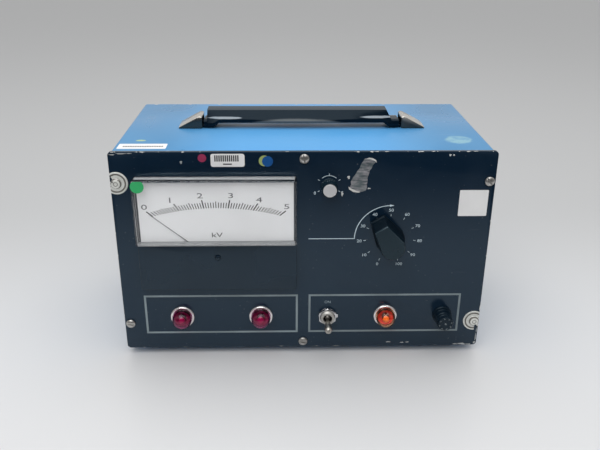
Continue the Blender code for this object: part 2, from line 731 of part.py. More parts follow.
def make_handle_cap(name, side, frame):
    """A wedge shell, open below and towards the grip, with its stud under the thick outer end."""
    def along_y(outline, half_width):
        return [[(side * (HANDLE_CAP_FROM_CENTRE + x), y, z) for x, z in outline] for y in (-half_width, half_width)]

    wall = HANDLE_CAP_WALL
    peak = HANDLE_CAP_PEAK_AT
    outer = [(0.0, SEAT), (HANDLE_CAP_LENGTH, SEAT), (HANDLE_CAP_LENGTH, HANDLE_CAP_TIP)]
    outer += [(2.2 * peak, cap_roof(2.2 * peak)), (peak, 0.97 * HANDLE_CAP_HEIGHT), (0.0, 0.9 * HANDLE_CAP_HEIGHT)]
    bm = bmesh.new()
    loft(bm, along_y(outer, HANDLE_CAP_WIDTH / 2))
    cap = new_object(name, bm, frame)
    bevel = cap.modifiers.new("soft_edges", "BEVEL")
    bevel.width = 0.7 * MM
    bevel.segments = 2
    bevel.limit_method = "ANGLE"
    bevel.angle_limit = math.radians(40)
    hollow_end = HANDLE_CAP_HOLLOW
    hollow = [(-wall, -wall), (hollow_end, -wall), (hollow_end, cap_roof(hollow_end) - wall)]
    hollow += [(2.2 * peak, cap_roof(2.2 * peak) - wall), (-wall, 0.9 * HANDLE_CAP_HEIGHT - wall)]
    cutter = bmesh.new()
    loft(cutter, along_y(hollow, HANDLE_CAP_WIDTH / 2 - wall))
    cut(cap, cutter, "hollow")
    stud = bmesh.new()
    outline = circle(HANDLE_STUD_RADIUS, SMALL, (side * handle_stud_x(), 0))
    prism(stud, outline, -HANDLE_STUD_DROP, SEAT + wall)
    join(cap, stud, "stud")
    give_finish(cap, NICKEL)


def grip_section(x_low, x_high, low, high, width_low, width_high):
    """A trapezoid with cut corners across the strap. x_low and x_high let an end lean."""
    nip = min(GRIP_ROUNDING, (high - low) / 3)
    points = [
        (width_low / 2 - nip, low),
        (width_low / 2, low + nip),
        (width_high / 2, high - nip),
        (width_high / 2 - nip, high),
    ]
    points += [(-y, z) for y, z in reversed(points)]
    lean = (x_high - x_low) / (high - low)
    return [(x_low + lean * (z - low), y, z) for y, z in points]


def make_handle_grip(frame):
    strap_end = HANDLE_CAP_FROM_CENTRE + STRAP_IN_CAP
    strap = (SEAT, SEAT + STRAP_THICK, STRAP_WIDTH, STRAP_WIDTH)
    block_low = SEAT + 0.3 * STRAP_THICK
    block = (block_low, GRIP_TOP, GRIP_WIDTH, GRIP_TOP_WIDTH)
    body = (GRIP_UNDERSIDE, GRIP_TOP, GRIP_WIDTH, GRIP_TOP_WIDTH)
    left = GRIP_LEFT_GAP - HANDLE_CAP_FROM_CENTRE
    right = HANDLE_CAP_FROM_CENTRE - GRIP_RIGHT_GAP
    step = 1.0 * MM
    loops = [
        grip_section(-strap_end, -strap_end, *strap),
        grip_section(left - step, left - step, *strap),
        grip_section(left, left, *block),
        grip_section(left + GRIP_END_BLOCK, left + GRIP_END_BLOCK, *block),
        grip_section(left + 2 * GRIP_END_BLOCK, left + 2 * GRIP_END_BLOCK, *body),
    ]
    swell_steps = 6
    for i in range(swell_steps + 1):
        x = GRIP_SWELL_HALF_LENGTH * (2 * i / swell_steps - 1) + (left + right - GRIP_RIGHT_SLOPE) / 2
        swell = GRIP_SWELL * math.sin(math.pi * i / swell_steps)
        loops.append(grip_section(x, x, GRIP_UNDERSIDE, GRIP_TOP, GRIP_WIDTH + swell, GRIP_TOP_WIDTH))
    slope = GRIP_RIGHT_SLOPE
    near_end = right - GRIP_END_BLOCK
    loops += [
        grip_section(near_end - GRIP_END_BLOCK, near_end - GRIP_END_BLOCK - slope / 2, *body),
        grip_section(near_end, near_end - slope / 2, *block),
        grip_section(right, right - slope, *block),
        grip_section(right + step, right + step, *strap),
        grip_section(strap_end, strap_end, *strap),
    ]
    bm = bmesh.new()
    loft(bm, loops)
    give_finish(new_object("handle_grip", bm, frame), BLACK_PLASTIC)


# Meter.

def make_meter(frame):
    make_meter_case(frame)
    make_meter_cover(frame)
    make_meter_lower_cover(frame)
    make_meter_dial(frame)
    make_meter_movement(frame)
    make_meter_needle(frame)
    make_zero_screw(frame)


def make_meter_case(frame):
    """A thin base plate on the panel, with a cup behind it for the movement."""
    bm = bmesh.new()
    base = rounded_rectangle(METER_WIDTH, METER_HIGH - METER_LOW, METER_CORNER, 2)
    prism(bm, base, SEAT, METER_BASE_FRONT)
    case = new_object("meter_case", bm, frame, (METER_X, METER_MIDDLE_Z, 0))
    barrel_at = (0.0, METER_BARREL_Z - METER_MIDDLE_Z)
    inside = SEAT + METER_BASE_THICK / 2
    barrel = bmesh.new()
    prism(barrel, circle(METER_BARREL_RADIUS, FINE, barrel_at), -METER_BARREL_DEPTH, inside)
    join(case, barrel, "barrel")
    studs = bmesh.new()
    for x, y in meter_stud_places():
        prism(studs, circle(METER_STUD_RADIUS, SMALL, (x, y)), -METER_STUD_LENGTH, inside)
    for x in (-METER_TERMINAL_X, METER_TERMINAL_X):
        outline = circle(METER_TERMINAL_RADIUS, SMALL, (x, barrel_at[1]))
        prism(studs, outline, -METER_BARREL_DEPTH - METER_TERMINAL_LENGTH, -METER_BARREL_DEPTH + METER_BARREL_WALL / 2)
    join(case, studs, "studs")
    cup = bmesh.new()
    hollow = circle(METER_BARREL_RADIUS - METER_BARREL_WALL, FINE, barrel_at)
    prism(cup, hollow, METER_BARREL_WALL - METER_BARREL_DEPTH, 2 * METER_BASE_FRONT)
    cut(case, cup, "cup")
    give_finish(case, BLACK_PLASTIC)


def make_meter_cover(frame):
    """A clear box over the upper dial, open behind. The needle passes under its lower wall."""
    low, high = METER_WINDOW_LOW, METER_HIGH
    middle = (low + high) / 2
    back, front, wall = DIAL_BACK, METER_COVER_PROUD, METER_COVER_WALL
    edge = 0.7 * MM
    levels = [(0.0, back), (0.0, front - edge), (edge, front)]
    bm = bmesh.new()
    loops = []
    for inset, z in levels:
        outline = rounded_rectangle(METER_WIDTH - 2 * inset, high - low - 2 * inset, METER_CORNER - inset, 2)
        loops.append([(x, y, z) for x, y in outline])
    loft(bm, loops)
    cover = new_object("meter_cover", bm, frame, (METER_X, middle, 0))
    pocket = bmesh.new()
    prism(pocket, rectangle(METER_WIDTH - 2 * wall, high - low - 2 * wall), back - wall, front - wall)
    cut(cover, pocket, "pocket")
    passage = bmesh.new()
    under = NEEDLE_FRONT + 3 * RUNNING
    prism(passage, rectangle(METER_WIDTH - 2 * wall, 3 * wall, (0, (low - high) / 2)), back - wall, under)
    cut(cover, passage, "needle_passage")
    give_finish(cover, CLEAR)


def make_meter_lower_cover(frame):
    """A shallow black cover below the window, open behind and above, with a hole for the zero screw."""
    low, high = METER_LOW, METER_WINDOW_LOW - SEAT
    middle = (low + high) / 2
    edge = 0.6 * MM
    wall = METER_LOWER_WALL
    loops = []
    for inset, z in ((0.0, DIAL_BACK), (0.0, METER_LOWER_PROUD - edge), (edge, METER_LOWER_PROUD)):
        outline = rounded_rectangle(METER_WIDTH - 2 * inset, high - low - 2 * inset, METER_CORNER - inset, 2)
        loops.append([(x, y, z) for x, y in outline])
    bm = bmesh.new()
    loft(bm, loops)
    cover = new_object("meter_lower_cover", bm, frame, (METER_X, middle, 0))
    pocket = bmesh.new()
    open_above = rectangle(METER_WIDTH - 2 * wall, high - low + wall, (0, 1.5 * wall))
    prism(pocket, open_above, DIAL_BACK - wall, METER_LOWER_PROUD - wall)
    cut(cover, pocket, "pocket")
    hole = bmesh.new()
    outline = circle(ZERO_SCREW_RADIUS + RUNNING, COARSE, (0, METER_ZERO_Z - middle))
    prism(hole, outline, DIAL_BACK, 2 * METER_LOWER_PROUD)
    cut(cover, hole, "zero_screw_hole")
    give_finish(cover, BLACK_PLASTIC)


def make_meter_dial(frame):
    """The scale plate, with a notch from below that clears the movement."""
    notch = DIAL_NOTCH_RADIUS
    half = METER_WIDTH / 2 - DIAL_INSET
    low = METER_LOW + DIAL_FOOT - METER_PIVOT_Z
    high = METER_HIGH - DIAL_INSET - METER_PIVOT_Z
    outline = [(notch, low), (half, low), (half, high), (-half, high), (-half, low), (-notch, low)]
    outline += arc(notch, math.pi, 0, 10)
    bm = bmesh.new()
    prism(bm, outline, DIAL_BACK, DIAL_FACE)
    dial = new_object("meter_dial", bm, frame, (METER_X, METER_PIVOT_Z, 0))
    give_finish(dial, WHITE_CARD)


def make_meter_movement(frame):
    """The magnet and core, which stand on the floor of the cup and hold the needle's staff."""
    floor = METER_BARREL_WALL + SEAT - METER_BARREL_DEPTH
    step = -MOVEMENT_FRONT_STEP
    staff = NEEDLE_STAFF_RADIUS + RUNNING
    staff_end = DIAL_FACE - NEEDLE_STAFF_LENGTH - SEAT
    bm = bmesh.new()
    turned(
        bm,
        [
            (0.0, staff_end),
            (staff, staff_end),
            (staff, DIAL_FACE),
            (MOVEMENT_FRONT_RADIUS, DIAL_FACE),
            (MOVEMENT_FRONT_RADIUS, step),
            (MOVEMENT_RADIUS, step),
            (MOVEMENT_RADIUS, floor),
            (0.0, floor),
        ],
        MEDIUM,
    )
    give_finish(new_object("meter_movement", bm, frame, (METER_X, METER_PIVOT_Z, 0)), STEEL)


def make_meter_needle(frame):
    """Drawn upright, then turned to the left end of the scale, where it rests."""
    root, tip = NEEDLE_ROOT_WIDTH / 2, NEEDLE_TIP_WIDTH / 2
    blade = [(tip, NEEDLE_LENGTH), (-tip, NEEDLE_LENGTH), (-root, 0), (-1.6 * root, -NEEDLE_TAIL)]
    blade += [(1.6 * root, -NEEDLE_TAIL), (root, 0)]
    bm = bmesh.new()
    prism(bm, blade, NEEDLE_BACK, NEEDLE_FRONT)
    turn = NEEDLE_SWING / 2
    needle = new_object("meter_needle", bm, frame, (METER_X, METER_PIVOT_Z, 0), (0, 0, turn))
    hub = bmesh.new()
    turned(
        hub,
        [
            (0.0, NEEDLE_FRONT + SEAT),
            (NEEDLE_HUB_RADIUS, NEEDLE_FRONT + SEAT),
            (NEEDLE_HUB_RADIUS, DIAL_FACE + SEAT),
            (NEEDLE_STAFF_RADIUS, DIAL_FACE + SEAT),
            (NEEDLE_STAFF_RADIUS, DIAL_FACE - NEEDLE_STAFF_LENGTH),
            (0.0, DIAL_FACE - NEEDLE_STAFF_LENGTH),
        ],
        SMALL,
    )
    join(needle, hub, "hub")
    give_finish(needle, BLACK_PLASTIC)


def make_zero_screw(frame):
    back = METER_LOWER_PROUD - METER_LOWER_WALL - SEAT / 2
    bm = bmesh.new()
    turned(
        bm,
        [
            (0.0, METER_LOWER_PROUD + SEAT),
            (0.9 * ZERO_SCREW_RADIUS, METER_LOWER_PROUD + SEAT),
            (ZERO_SCREW_RADIUS, METER_LOWER_PROUD),
            (ZERO_SCREW_RADIUS, back),
            (0.0, back),
        ],
        COARSE,
    )
    screw = new_object("zero_adjust_screw", bm, frame, (METER_X, METER_ZERO_Z, 0))
    slot = bmesh.new()
    box(slot, (4 * ZERO_SCREW_RADIUS, 0.7 * MM, 1.4 * MM), (0, 0, METER_LOWER_PROUD + SEAT))
    cut(screw, slot, "slot")
    give_finish(screw, BLACK_PLASTIC)


# Lamps.

def make_lamp(name, x, look, frame):
    at = (x, CONTROL_ROW_Z, 0)
    recess = LAMP_LENS_RADIUS + SEAT
    bezel = bmesh.new()
    turned(
        bezel,
        [
            (LAMP_BEZEL_RADIUS, SEAT),
            (LAMP_TUBE_RADIUS, SEAT),
            (LAMP_TUBE_RADIUS, -LAMP_TUBE_DEPTH),
            (LAMP_TUBE_BORE, -LAMP_TUBE_DEPTH),
            (LAMP_TUBE_BORE, LAMP_LENS_SEAT),
            (recess, LAMP_LENS_SEAT),
            (recess, LAMP_BEZEL_PROUD),
            (LAMP_BEZEL_FRONT_RADIUS, LAMP_BEZEL_PROUD),
            (LAMP_BEZEL_RADIUS, 0.4 * LAMP_BEZEL_PROUD),
        ],
        MEDIUM,
    )
    give_finish(new_object(name + "_bezel", bezel, frame, at), CHROME)
    make_lamp_lens(name + "_lens", look, frame, at)
    make_lamp_socket(name + "_socket", frame, at)


def make_lamp_lens(name, look, frame, at):
    """A tall domed cap. Its inner and outer surfaces are full ellipses on a short straight rim."""
    rise = LAMP_LENS_PROUD - LAMP_LENS_RIM
    inner_radius = LAMP_LENS_RADIUS - LAMP_LENS_WALL
    back = LAMP_LENS_SEAT + SEAT
    steps = 6

    def dome(radius, height, turn):
        across = abs(math.sin(turn)) ** LAMP_LENS_FULLNESS
        out = abs(math.cos(turn)) ** LAMP_LENS_FULLNESS
        return (radius * across, LAMP_LENS_RIM + height * out)

    turns = [math.pi / 2 * i / steps for i in range(steps + 1)]
    profile = [dome(LAMP_LENS_RADIUS, rise, turn) for turn in turns]
    profile += [(LAMP_LENS_RADIUS, back), (inner_radius, back)]
    profile += [dome(inner_radius, rise - LAMP_LENS_WALL, turn) for turn in reversed(turns[::2])]
    profile[-1] = (0.0, LAMP_LENS_PROUD - LAMP_LENS_WALL)
    bm = bmesh.new()
    turned(bm, profile, MEDIUM)
    give_finish(new_object(name, bm, frame, at), look)


def make_lamp_socket(name, frame, at):
    """The socket screws over the bezel's tube, clamps the panel with its collar and holds the bulb."""
    post = LAMP_TUBE_BORE - SEAT
    pocket = LAMP_TUBE_RADIUS + SEAT
    pocket_end = -LAMP_TUBE_DEPTH - SEAT
    collar_end = BEHIND_PANEL - LAMP_COLLAR_THICK
    bm = bmesh.new()
    turned(
        bm,
        [
            (0.0, LAMP_BULB_TOP),
            (0.8 * LAMP_BULB_RADIUS, 0.8 * LAMP_BULB_TOP),
            (LAMP_BULB_RADIUS, 0.5 * LAMP_BULB_TOP),
            (LAMP_BULB_RADIUS, LAMP_LENS_SEAT - SEAT),
            (post, LAMP_LENS_SEAT - SEAT),
            (post, pocket_end),
            (pocket, pocket_end),
            (pocket, BEHIND_PANEL),
            (LAMP_COLLAR_RADIUS, BEHIND_PANEL),
            (LAMP_COLLAR_RADIUS, collar_end),
            (LAMP_SOCKET_RADIUS, collar_end),
            (LAMP_SOCKET_RADIUS, -LAMP_SOCKET_DEPTH),
            (0.0, -LAMP_SOCKET_DEPTH),
        ],
        COARSE,
    )
    give_finish(new_object(name, bm, frame, at), BLACK_PLASTIC)


# Controls.

def make_nut(name, flats, thick, low, bore, frame, at, look):
    bm = bmesh.new()
    prism(bm, hexagon(flats), low, low + thick)
    nut = new_object(name, bm, frame, at)
    hole = bmesh.new()
    prism(hole, circle(bore + HOLE_EASE, COARSE), low - thick, low + 2 * thick)
    cut(nut, hole, "bore")
    give_finish(nut, look)


def make_toggle(frame):
    at = (TOGGLE_X, CONTROL_ROW_Z, 0)
    back = BEHIND_PANEL - TOGGLE_BODY_DEPTH
    bm = bmesh.new()
    prism(bm, rectangle(TOGGLE_BODY_WIDTH, TOGGLE_BODY_HEIGHT), back, BEHIND_PANEL)
    body = new_object("toggle_body", bm, frame, at)
    bushing = bmesh.new()
    prism(bushing, circle(TOGGLE_BUSHING_RADIUS, COARSE), BEHIND_PANEL - SEAT, TOGGLE_BUSHING_PROUD)
    join(body, bushing, "bushing")
    bore = bmesh.new()
    prism(bore, circle(TOGGLE_BORE, COARSE), TOGGLE_PIVOT_OUT - TOGGLE_BORE_DEPTH, 2 * TOGGLE_BUSHING_PROUD)
    cut(body, bore, "bore")
    give_finish(body, STEEL)
    washer_low = SEAT
    nut_low = washer_low + TOGGLE_WASHER_THICK + SEAT
    make_toggle_washer(washer_low, frame, at)
    make_nut("toggle_nut", TOGGLE_NUT_FLATS, TOGGLE_NUT_THICK, nut_low, TOGGLE_BUSHING_RADIUS, frame, at, CHROME)
    make_toggle_lever(frame)


def make_toggle_washer(low, frame, at):
    """A locating ring with one tab that stands out to the right."""
    bm = bmesh.new()
    prism(bm, circle(TOGGLE_WASHER_RADIUS, MEDIUM), low, low + TOGGLE_WASHER_THICK)
    washer = new_object("toggle_lock_washer", bm, frame, at)
    tab = bmesh.new()
    tab_end = TOGGLE_WASHER_RADIUS + TOGGLE_TAB_LENGTH
    middle = (tab_end + TOGGLE_BUSHING_RADIUS) / 2
    outline = rectangle(tab_end - TOGGLE_BUSHING_RADIUS, TOGGLE_TAB_WIDTH, (middle, 0))
    prism(tab, outline, low, low + TOGGLE_WASHER_THICK)
    join(washer, tab, "tab")
    hole = bmesh.new()
    prism(hole, circle(TOGGLE_BUSHING_RADIUS + HOLE_EASE, COARSE), -PANEL_THICK, 3 * TOGGLE_WASHER_THICK)
    cut(washer, hole, "bore")
    give_finish(washer, CHROME)


def make_toggle_lever(frame):
    """A bat lever turned about its pivot ball, tipped down to the off position."""
    length, ball, bat, neck = TOGGLE_LEVER_LENGTH, TOGGLE_BALL_RADIUS, TOGGLE_BAT_RADIUS, TOGGLE_LEVER_NECK
    neck_at = math.sqrt(ball**2 - neck**2)
    bm = bmesh.new()
    turned(
        bm,
        [
            (0.0, length),
            (0.55 * bat, length - 0.16 * bat),
            (0.9 * bat, length - 0.6 * bat),
            (bat, length - 1.2 * bat),
            (0.92 * bat, length - 2 * bat),
            (neck, neck_at),
            (0.8 * ball, 0.6 * ball),
            (ball, 0.0),
            (0.8 * ball, -0.6 * ball),
            (neck, -neck_at),
            (neck, -TOGGLE_LEVER_TAIL),
            (0.0, -TOGGLE_LEVER_TAIL),
        ],
        COARSE,
    )
    at = (TOGGLE_X, CONTROL_ROW_Z, TOGGLE_PIVOT_OUT)
    lever = new_object("toggle_lever", bm, frame, at, (TOGGLE_THROW / 2, 0, 0))
    give_finish(lever, CHROME)


def make_leak_pot(frame):
    at = (LEAK_POT_X, LEAK_POT_Z, 0)
    bore = POT_SHAFT_RADIUS + RUNNING
    can_end = BEHIND_PANEL - POT_CAN_DEPTH
    body = bmesh.new()
    turned(
        body,
        [
            (0.0, -POT_SHAFT_DEPTH - SEAT),
            (bore, -POT_SHAFT_DEPTH - SEAT),
            (bore, POT_BUSHING_PROUD),
            (POT_BUSHING_RADIUS, POT_BUSHING_PROUD),
            (POT_BUSHING_RADIUS, BEHIND_PANEL),
            (POT_CAN_RADIUS, BEHIND_PANEL),
            (POT_CAN_RADIUS, can_end),
            (0.0, can_end),
        ],
        COARSE,
    )
    give_finish(new_object("pot_body", body, frame, at), STEEL)
    make_nut("pot_nut", POT_NUT_FLATS, POT_NUT_THICK, SEAT, POT_BUSHING_RADIUS, frame, at, CHROME)
    shaft = bmesh.new()
    prism(shaft, circle(POT_SHAFT_RADIUS, COARSE), -POT_SHAFT_DEPTH, POT_SHAFT_PROUD)
    give_finish(new_object("pot_shaft", shaft, frame, at), STEEL)
    make_leak_knob(frame, at)


def make_leak_knob(frame, at):
    """A small knob on the shaft, hollow over the nut and bushing, with a bright disc in its front."""
    top, base = LEAK_KNOB_TOP, SEAT + POT_NUT_THICK + SEAT
    bushing_room = POT_BUSHING_RADIUS + HOLE_EASE
    recess = LEAK_KNOB_CAP_RADIUS + SEAT
    disc_back = top - LEAK_KNOB_CAP_THICK
    bore = POT_SHAFT_RADIUS + HOLE_EASE
    knob = bmesh.new()
    turned(
        knob,
        [
            (0.0, disc_back - SEAT),
            (recess, disc_back - SEAT),
            (recess, top),
            (LEAK_KNOB_FRONT_RADIUS, top),
            (LEAK_KNOB_BASE_RADIUS, base + SEAT),
            (LEAK_KNOB_BASE_RADIUS, base),
            (bushing_room, base),
            (bushing_room, POT_BUSHING_PROUD + SEAT),
            (bore, POT_BUSHING_PROUD + SEAT),
            (bore, POT_SHAFT_PROUD + SEAT),
            (0.0, POT_SHAFT_PROUD + SEAT),
        ],
        MEDIUM,
    )
    give_finish(new_object("leak_knob", knob, frame, at), BLACK_PLASTIC)
    disc = bmesh.new()
    edge = LEAK_KNOB_CAP_THICK / 3
    turned(
        disc,
        [
            (0.0, top + SEAT),
            (LEAK_KNOB_CAP_RADIUS - edge, top + SEAT),
            (LEAK_KNOB_CAP_RADIUS, top + SEAT - edge),
            (LEAK_KNOB_CAP_RADIUS, disc_back),
            (0.0, disc_back),
        ],
        MEDIUM,
    )
    give_finish(new_object("leak_knob_disc", disc, frame, at), CHROME)


def make_variac(frame):
    """A toroid behind the panel, with a brush arm on a shaft that passes through the core's hub."""
    at = (VARIAC_X, VARIAC_Z, 0)
    base_end = BEHIND_PANEL - VARIAC_BASE_THICK
    core_front = base_end - SEAT
    core_end = core_front - VARIAC_CORE_HEIGHT
    bore = VARIAC_SHAFT_RADIUS + RUNNING
    base = bmesh.new()
    turned(
        base,
        [
            (bore, VARIAC_BUSHING_PROUD),
            (VARIAC_BUSHING_RADIUS, VARIAC_BUSHING_PROUD),
            (VARIAC_BUSHING_RADIUS, BEHIND_PANEL),
            (VARIAC_BASE_RADIUS, BEHIND_PANEL),
            (VARIAC_BASE_RADIUS, base_end),
            (VARIAC_HUB_RADIUS, base_end),
            (VARIAC_HUB_RADIUS, core_end),
            (bore, core_end),
        ],
        MEDIUM,
    )
    give_finish(new_object("variac_base", base, frame, at), STEEL)
    make_variac_core(core_front, core_end, frame, at)
    make_nut("variac_nut", VARIAC_NUT_FLATS, VARIAC_NUT_THICK, SEAT, VARIAC_BUSHING_RADIUS, frame, at, STEEL)
    make_variac_arm(core_end, frame, at)
    make_variac_knob(frame, at)


def make_variac_core(front, end, frame, at):
    """The wound core, round on all four edges where the wire turns over."""
    rounding = VARIAC_CORE_ROUNDING
    near = VARIAC_CORE_RADIUS - rounding, VARIAC_CORE_BORE + rounding
    corners = [
        ((near[0], front - rounding), math.pi / 2, 0),
        ((near[0], end + rounding), 0, -math.pi / 2),
        ((near[1], end + rounding), -math.pi / 2, -math.pi),
        ((near[1], front - rounding), math.pi, math.pi / 2),
    ]
    profile = []
    for centre, start, stop in corners:
        profile += arc(rounding, start, stop, 2, centre)
    bm = bmesh.new()
    turned(bm, profile, MEDIUM)
    give_finish(new_object("variac_core", bm, frame, at), COPPER)


def variac_turn():
    """The knob's turn from straight up, at the setting where it was left."""
    return VARIAC_ZERO_ANGLE - VARIAC_SETTING * VARIAC_TRAVEL - math.pi / 2


def make_variac_arm(core_end, frame, at):
    """The arm's brush rides on the rear face of the winding, on the side away from the pointer."""
    turn = (0, 0, variac_turn() + math.pi)
    arm_front = core_end - VARIAC_BRUSH_HEIGHT
    arm_end = arm_front - VARIAC_ARM_THICK
    shaft = bmesh.new()
    prism(shaft, circle(VARIAC_SHAFT_RADIUS, MEDIUM), arm_end - VARIAC_SHAFT_TAIL, VARIAC_SHAFT_PROUD)
    give_finish(new_object("variac_shaft", shaft, frame, at, turn), STEEL)
    hub = bmesh.new()
    prism(hub, circle(VARIAC_ARM_HUB_RADIUS, COARSE), arm_end, core_end - SEAT)
    arm = new_object("variac_brush_arm", hub, frame, at, turn)
    bar = bmesh.new()
    prism(bar, rectangle(VARIAC_ARM_WIDTH, VARIAC_ARM_REACH, (0, VARIAC_ARM_REACH / 2)), arm_end, arm_front)
    join(arm, bar, "bar")
    brush = bmesh.new()
    middle = VARIAC_ARM_REACH - VARIAC_BRUSH_LENGTH / 2
    outline = rectangle(VARIAC_ARM_WIDTH * 0.6, VARIAC_BRUSH_LENGTH, (0, middle))
    prism(brush, outline, arm_end + VARIAC_ARM_THICK / 2, core_end - SEAT)
    join(arm, brush, "brush")
    hole = bmesh.new()
    prism(hole, circle(VARIAC_SHAFT_RADIUS + HOLE_EASE, COARSE), arm_end - VARIAC_ARM_THICK, core_end)
    cut(arm, hole, "bore")
    give_finish(arm, COPPER)


def pointer_outline(grow):
    """A round hub with two straight sides that close in on a blunt nose, which points along +Y."""
    hub = VARIAC_KNOB_HUB_RADIUS + grow
    reach = VARIAC_KNOB_REACH + grow
    half = VARIAC_KNOB_NOSE_WIDTH / 2 + grow
    tangent = math.atan2(half, reach) + math.acos(hub / math.hypot(half, reach))
    corner = half / 4
    nose = arc(corner, 0, math.pi / 2, 2, (half - corner, reach - corner))
    nose += arc(corner, math.pi / 2, math.pi, 2, (corner - half, reach - corner))
    back = arc(hub, math.pi / 2 + tangent, 5 * math.pi / 2 - tangent, 14)
    return nose + back


def make_variac_knob(frame, at):
    """A tall pointer knob: a lip at the skirt, drafted sides and a chamfered face, hollow over the nut."""
    low, top = VARIAC_KNOB_LOW, VARIAC_KNOB_TOP
    levels = [
        (VARIAC_KNOB_SKIRT_LIP, low),
        (VARIAC_KNOB_SKIRT_LIP, VARIAC_KNOB_SKIRT),
        (0.0, VARIAC_KNOB_SKIRT + VARIAC_KNOB_SKIRT_LIP),
        (-VARIAC_KNOB_DRAFT, top - VARIAC_KNOB_CHAMFER),
        (-VARIAC_KNOB_DRAFT - VARIAC_KNOB_CHAMFER, top),
    ]
    bm = bmesh.new()
    loft(bm, [[(x, y, z) for x, y in pointer_outline(grow)] for grow, z in levels])
    knob = new_object("variac_knob", bm, frame, at, (0, 0, variac_turn()))
    room = bmesh.new()
    nut_room = VARIAC_NUT_FLATS / math.sqrt(3) + 2 * SEAT
    prism(room, circle(nut_room, MEDIUM), low - SEAT, VARIAC_BUSHING_PROUD + SEAT)
    cut(knob, room, "nut_room")
    bore = bmesh.new()
    prism(bore, circle(VARIAC_SHAFT_RADIUS + HOLE_EASE, COARSE), low, VARIAC_SHAFT_PROUD + SEAT)
    cut(knob, bore, "bore")
    give_finish(knob, BLACK_PLASTIC)


# Fuse holder.

def make_fuse_holder(frame):
    at = (FUSE_X, CONTROL_ROW_Z, 0)
    cap_back = HOLDER_NECK_PROUD + SEAT
    fuse_front = cap_back - 2 * SEAT
    fuse_end = fuse_front - FUSE_LENGTH
    bore_end = fuse_end - SEAT
    barrel_end = bore_end - HOLDER_TAIL
    body = bmesh.new()
    turned(
        body,
        [
            (0.0, bore_end),
            (HOLDER_BORE, bore_end),
            (HOLDER_BORE, HOLDER_NECK_PROUD),
            (HOLDER_NECK_RADIUS, HOLDER_NECK_PROUD),
            (HOLDER_NECK_RADIUS, SEAT + HOLDER_FLANGE_THICK),
            (HOLDER_FLANGE_RADIUS, SEAT + HOLDER_FLANGE_THICK),
            (HOLDER_FLANGE_RADIUS, SEAT),
            (HOLDER_BARREL_RADIUS, SEAT),
            (HOLDER_BARREL_RADIUS, barrel_end),
            (0.0, barrel_end),
        ],
        MEDIUM,
    )
    give_finish(new_object("fuse_holder_body", body, frame, at), BLACK_PLASTIC)
    nut_low = BEHIND_PANEL - HOLDER_NUT_THICK
    make_nut(
        "fuse_holder_nut", HOLDER_NUT_FLATS, HOLDER_NUT_THICK, nut_low, HOLDER_BARREL_RADIUS, frame, at, BLACK_PLASTIC
    )
    fuse = bmesh.new()
    prism(fuse, circle(FUSE_RADIUS, COARSE), fuse_end, fuse_front)
    give_finish(new_object("fuse", fuse, frame, at), GLASS_TUBE)
    make_fuse_cap(cap_back, fuse_front, frame, at)


def make_fuse_cap(back, fuse_front, frame, at):
    """The cap's plug holds the fuse. It tapers to a dished face, with two grooves and a notched rim."""
    front, groove, face = FUSE_CAP_FRONT, FUSE_CAP_GROOVE, FUSE_CAP_FACE
    pocket = FUSE_RADIUS + SEAT
    grip_end = back - FUSE_CAP_GRIP

    def side(share):
        return (FUSE_CAP_RADIUS + share * (face - FUSE_CAP_RADIUS), back + share * (front - back))

    rim = face - 2 * groove
    profile = [(0.0, front - FUSE_CAP_DISH), (rim - groove, front - FUSE_CAP_DISH)]
    profile += [(rim - groove / 2, front), (rim, front), (face, front - 1.5 * groove)]
    for share in (0.62, 0.36):
        radius, middle = side(share)
        profile += [(radius, middle + groove), (radius - groove, middle + groove / 2)]
        profile += [(radius - groove, middle - groove / 2), (radius, middle - groove)]
    profile += [side(0.0), (FUSE_CAP_PLUG, back), (FUSE_CAP_PLUG, grip_end), (pocket, grip_end)]
    profile += [(pocket, fuse_front + SEAT), (0.0, fuse_front + SEAT)]
    bm = bmesh.new()
    turned(bm, profile, MEDIUM)
    cap = new_object("fuse_cap", bm, frame, at)
    notches = bmesh.new()
    for i in range(FUSE_CAP_NOTCHES):
        turn = 2 * math.pi * (i + 0.5) / FUSE_CAP_NOTCHES
        notch = circle(groove, 4, (face * math.cos(turn), face * math.sin(turn)))
        prism(notches, notch, front - 3 * groove, front + groove)
    cut(cap, notches, "notches")
    give_finish(cap, BLACK_PLASTIC)


# Inner works on the cabinet floor.

def make_transformer():
    """A shell core of two yokes and three legs, with the winding round the middle leg."""
    x = TRANSFORMER_FROM_SIDE - CASE_WIDTH / 2
    y = CASE_REAR_Y - TRANSFORMER_FROM_REAR
    middle = (x, y, FLOOR + CORE_HEIGHT / 2)
    core_bm = bmesh.new()
    box(core_bm, (CORE_WIDTH, CORE_STACK, CORE_HEIGHT), (0, 0, 0))
    core = new_object("transformer_core", core_bm, None, middle)
    window = (CORE_WIDTH - CORE_LEG - 2 * CORE_YOKE) / 2
    window_height = CORE_HEIGHT - 2 * CORE_YOKE
    window_x = CORE_LEG / 2 + window / 2
    windows = bmesh.new()
    for side in (-1, 1):
        box(windows, (window, 2 * CORE_STACK, window_height), (side * window_x, 0, 0))
    cut(core, windows, "windows")
    give_finish(core, LAMINATIONS)
    coil_bm = bmesh.new()
    coil_height = window_height - 2 * SEAT
    inner = rounded_rectangle(CORE_LEG + 2 * SEAT, CORE_STACK + 2 * SEAT, SEAT, 3)
    outer = rounded_rectangle(
        CORE_LEG + 2 * window - 2 * SEAT, CORE_STACK + 2 * COIL_BULGE, 0.6 * COIL_BULGE, 3
    )
    loops = [(outer, -1), (outer, 1), (inner, 1), (inner, -1)]
    loft(coil_bm, [[(a, b, s * coil_height / 2) for a, b in ring] for ring, s in loops], ring=True)
    give_finish(new_object("transformer_coil", coil_bm, None, middle), COPPER)


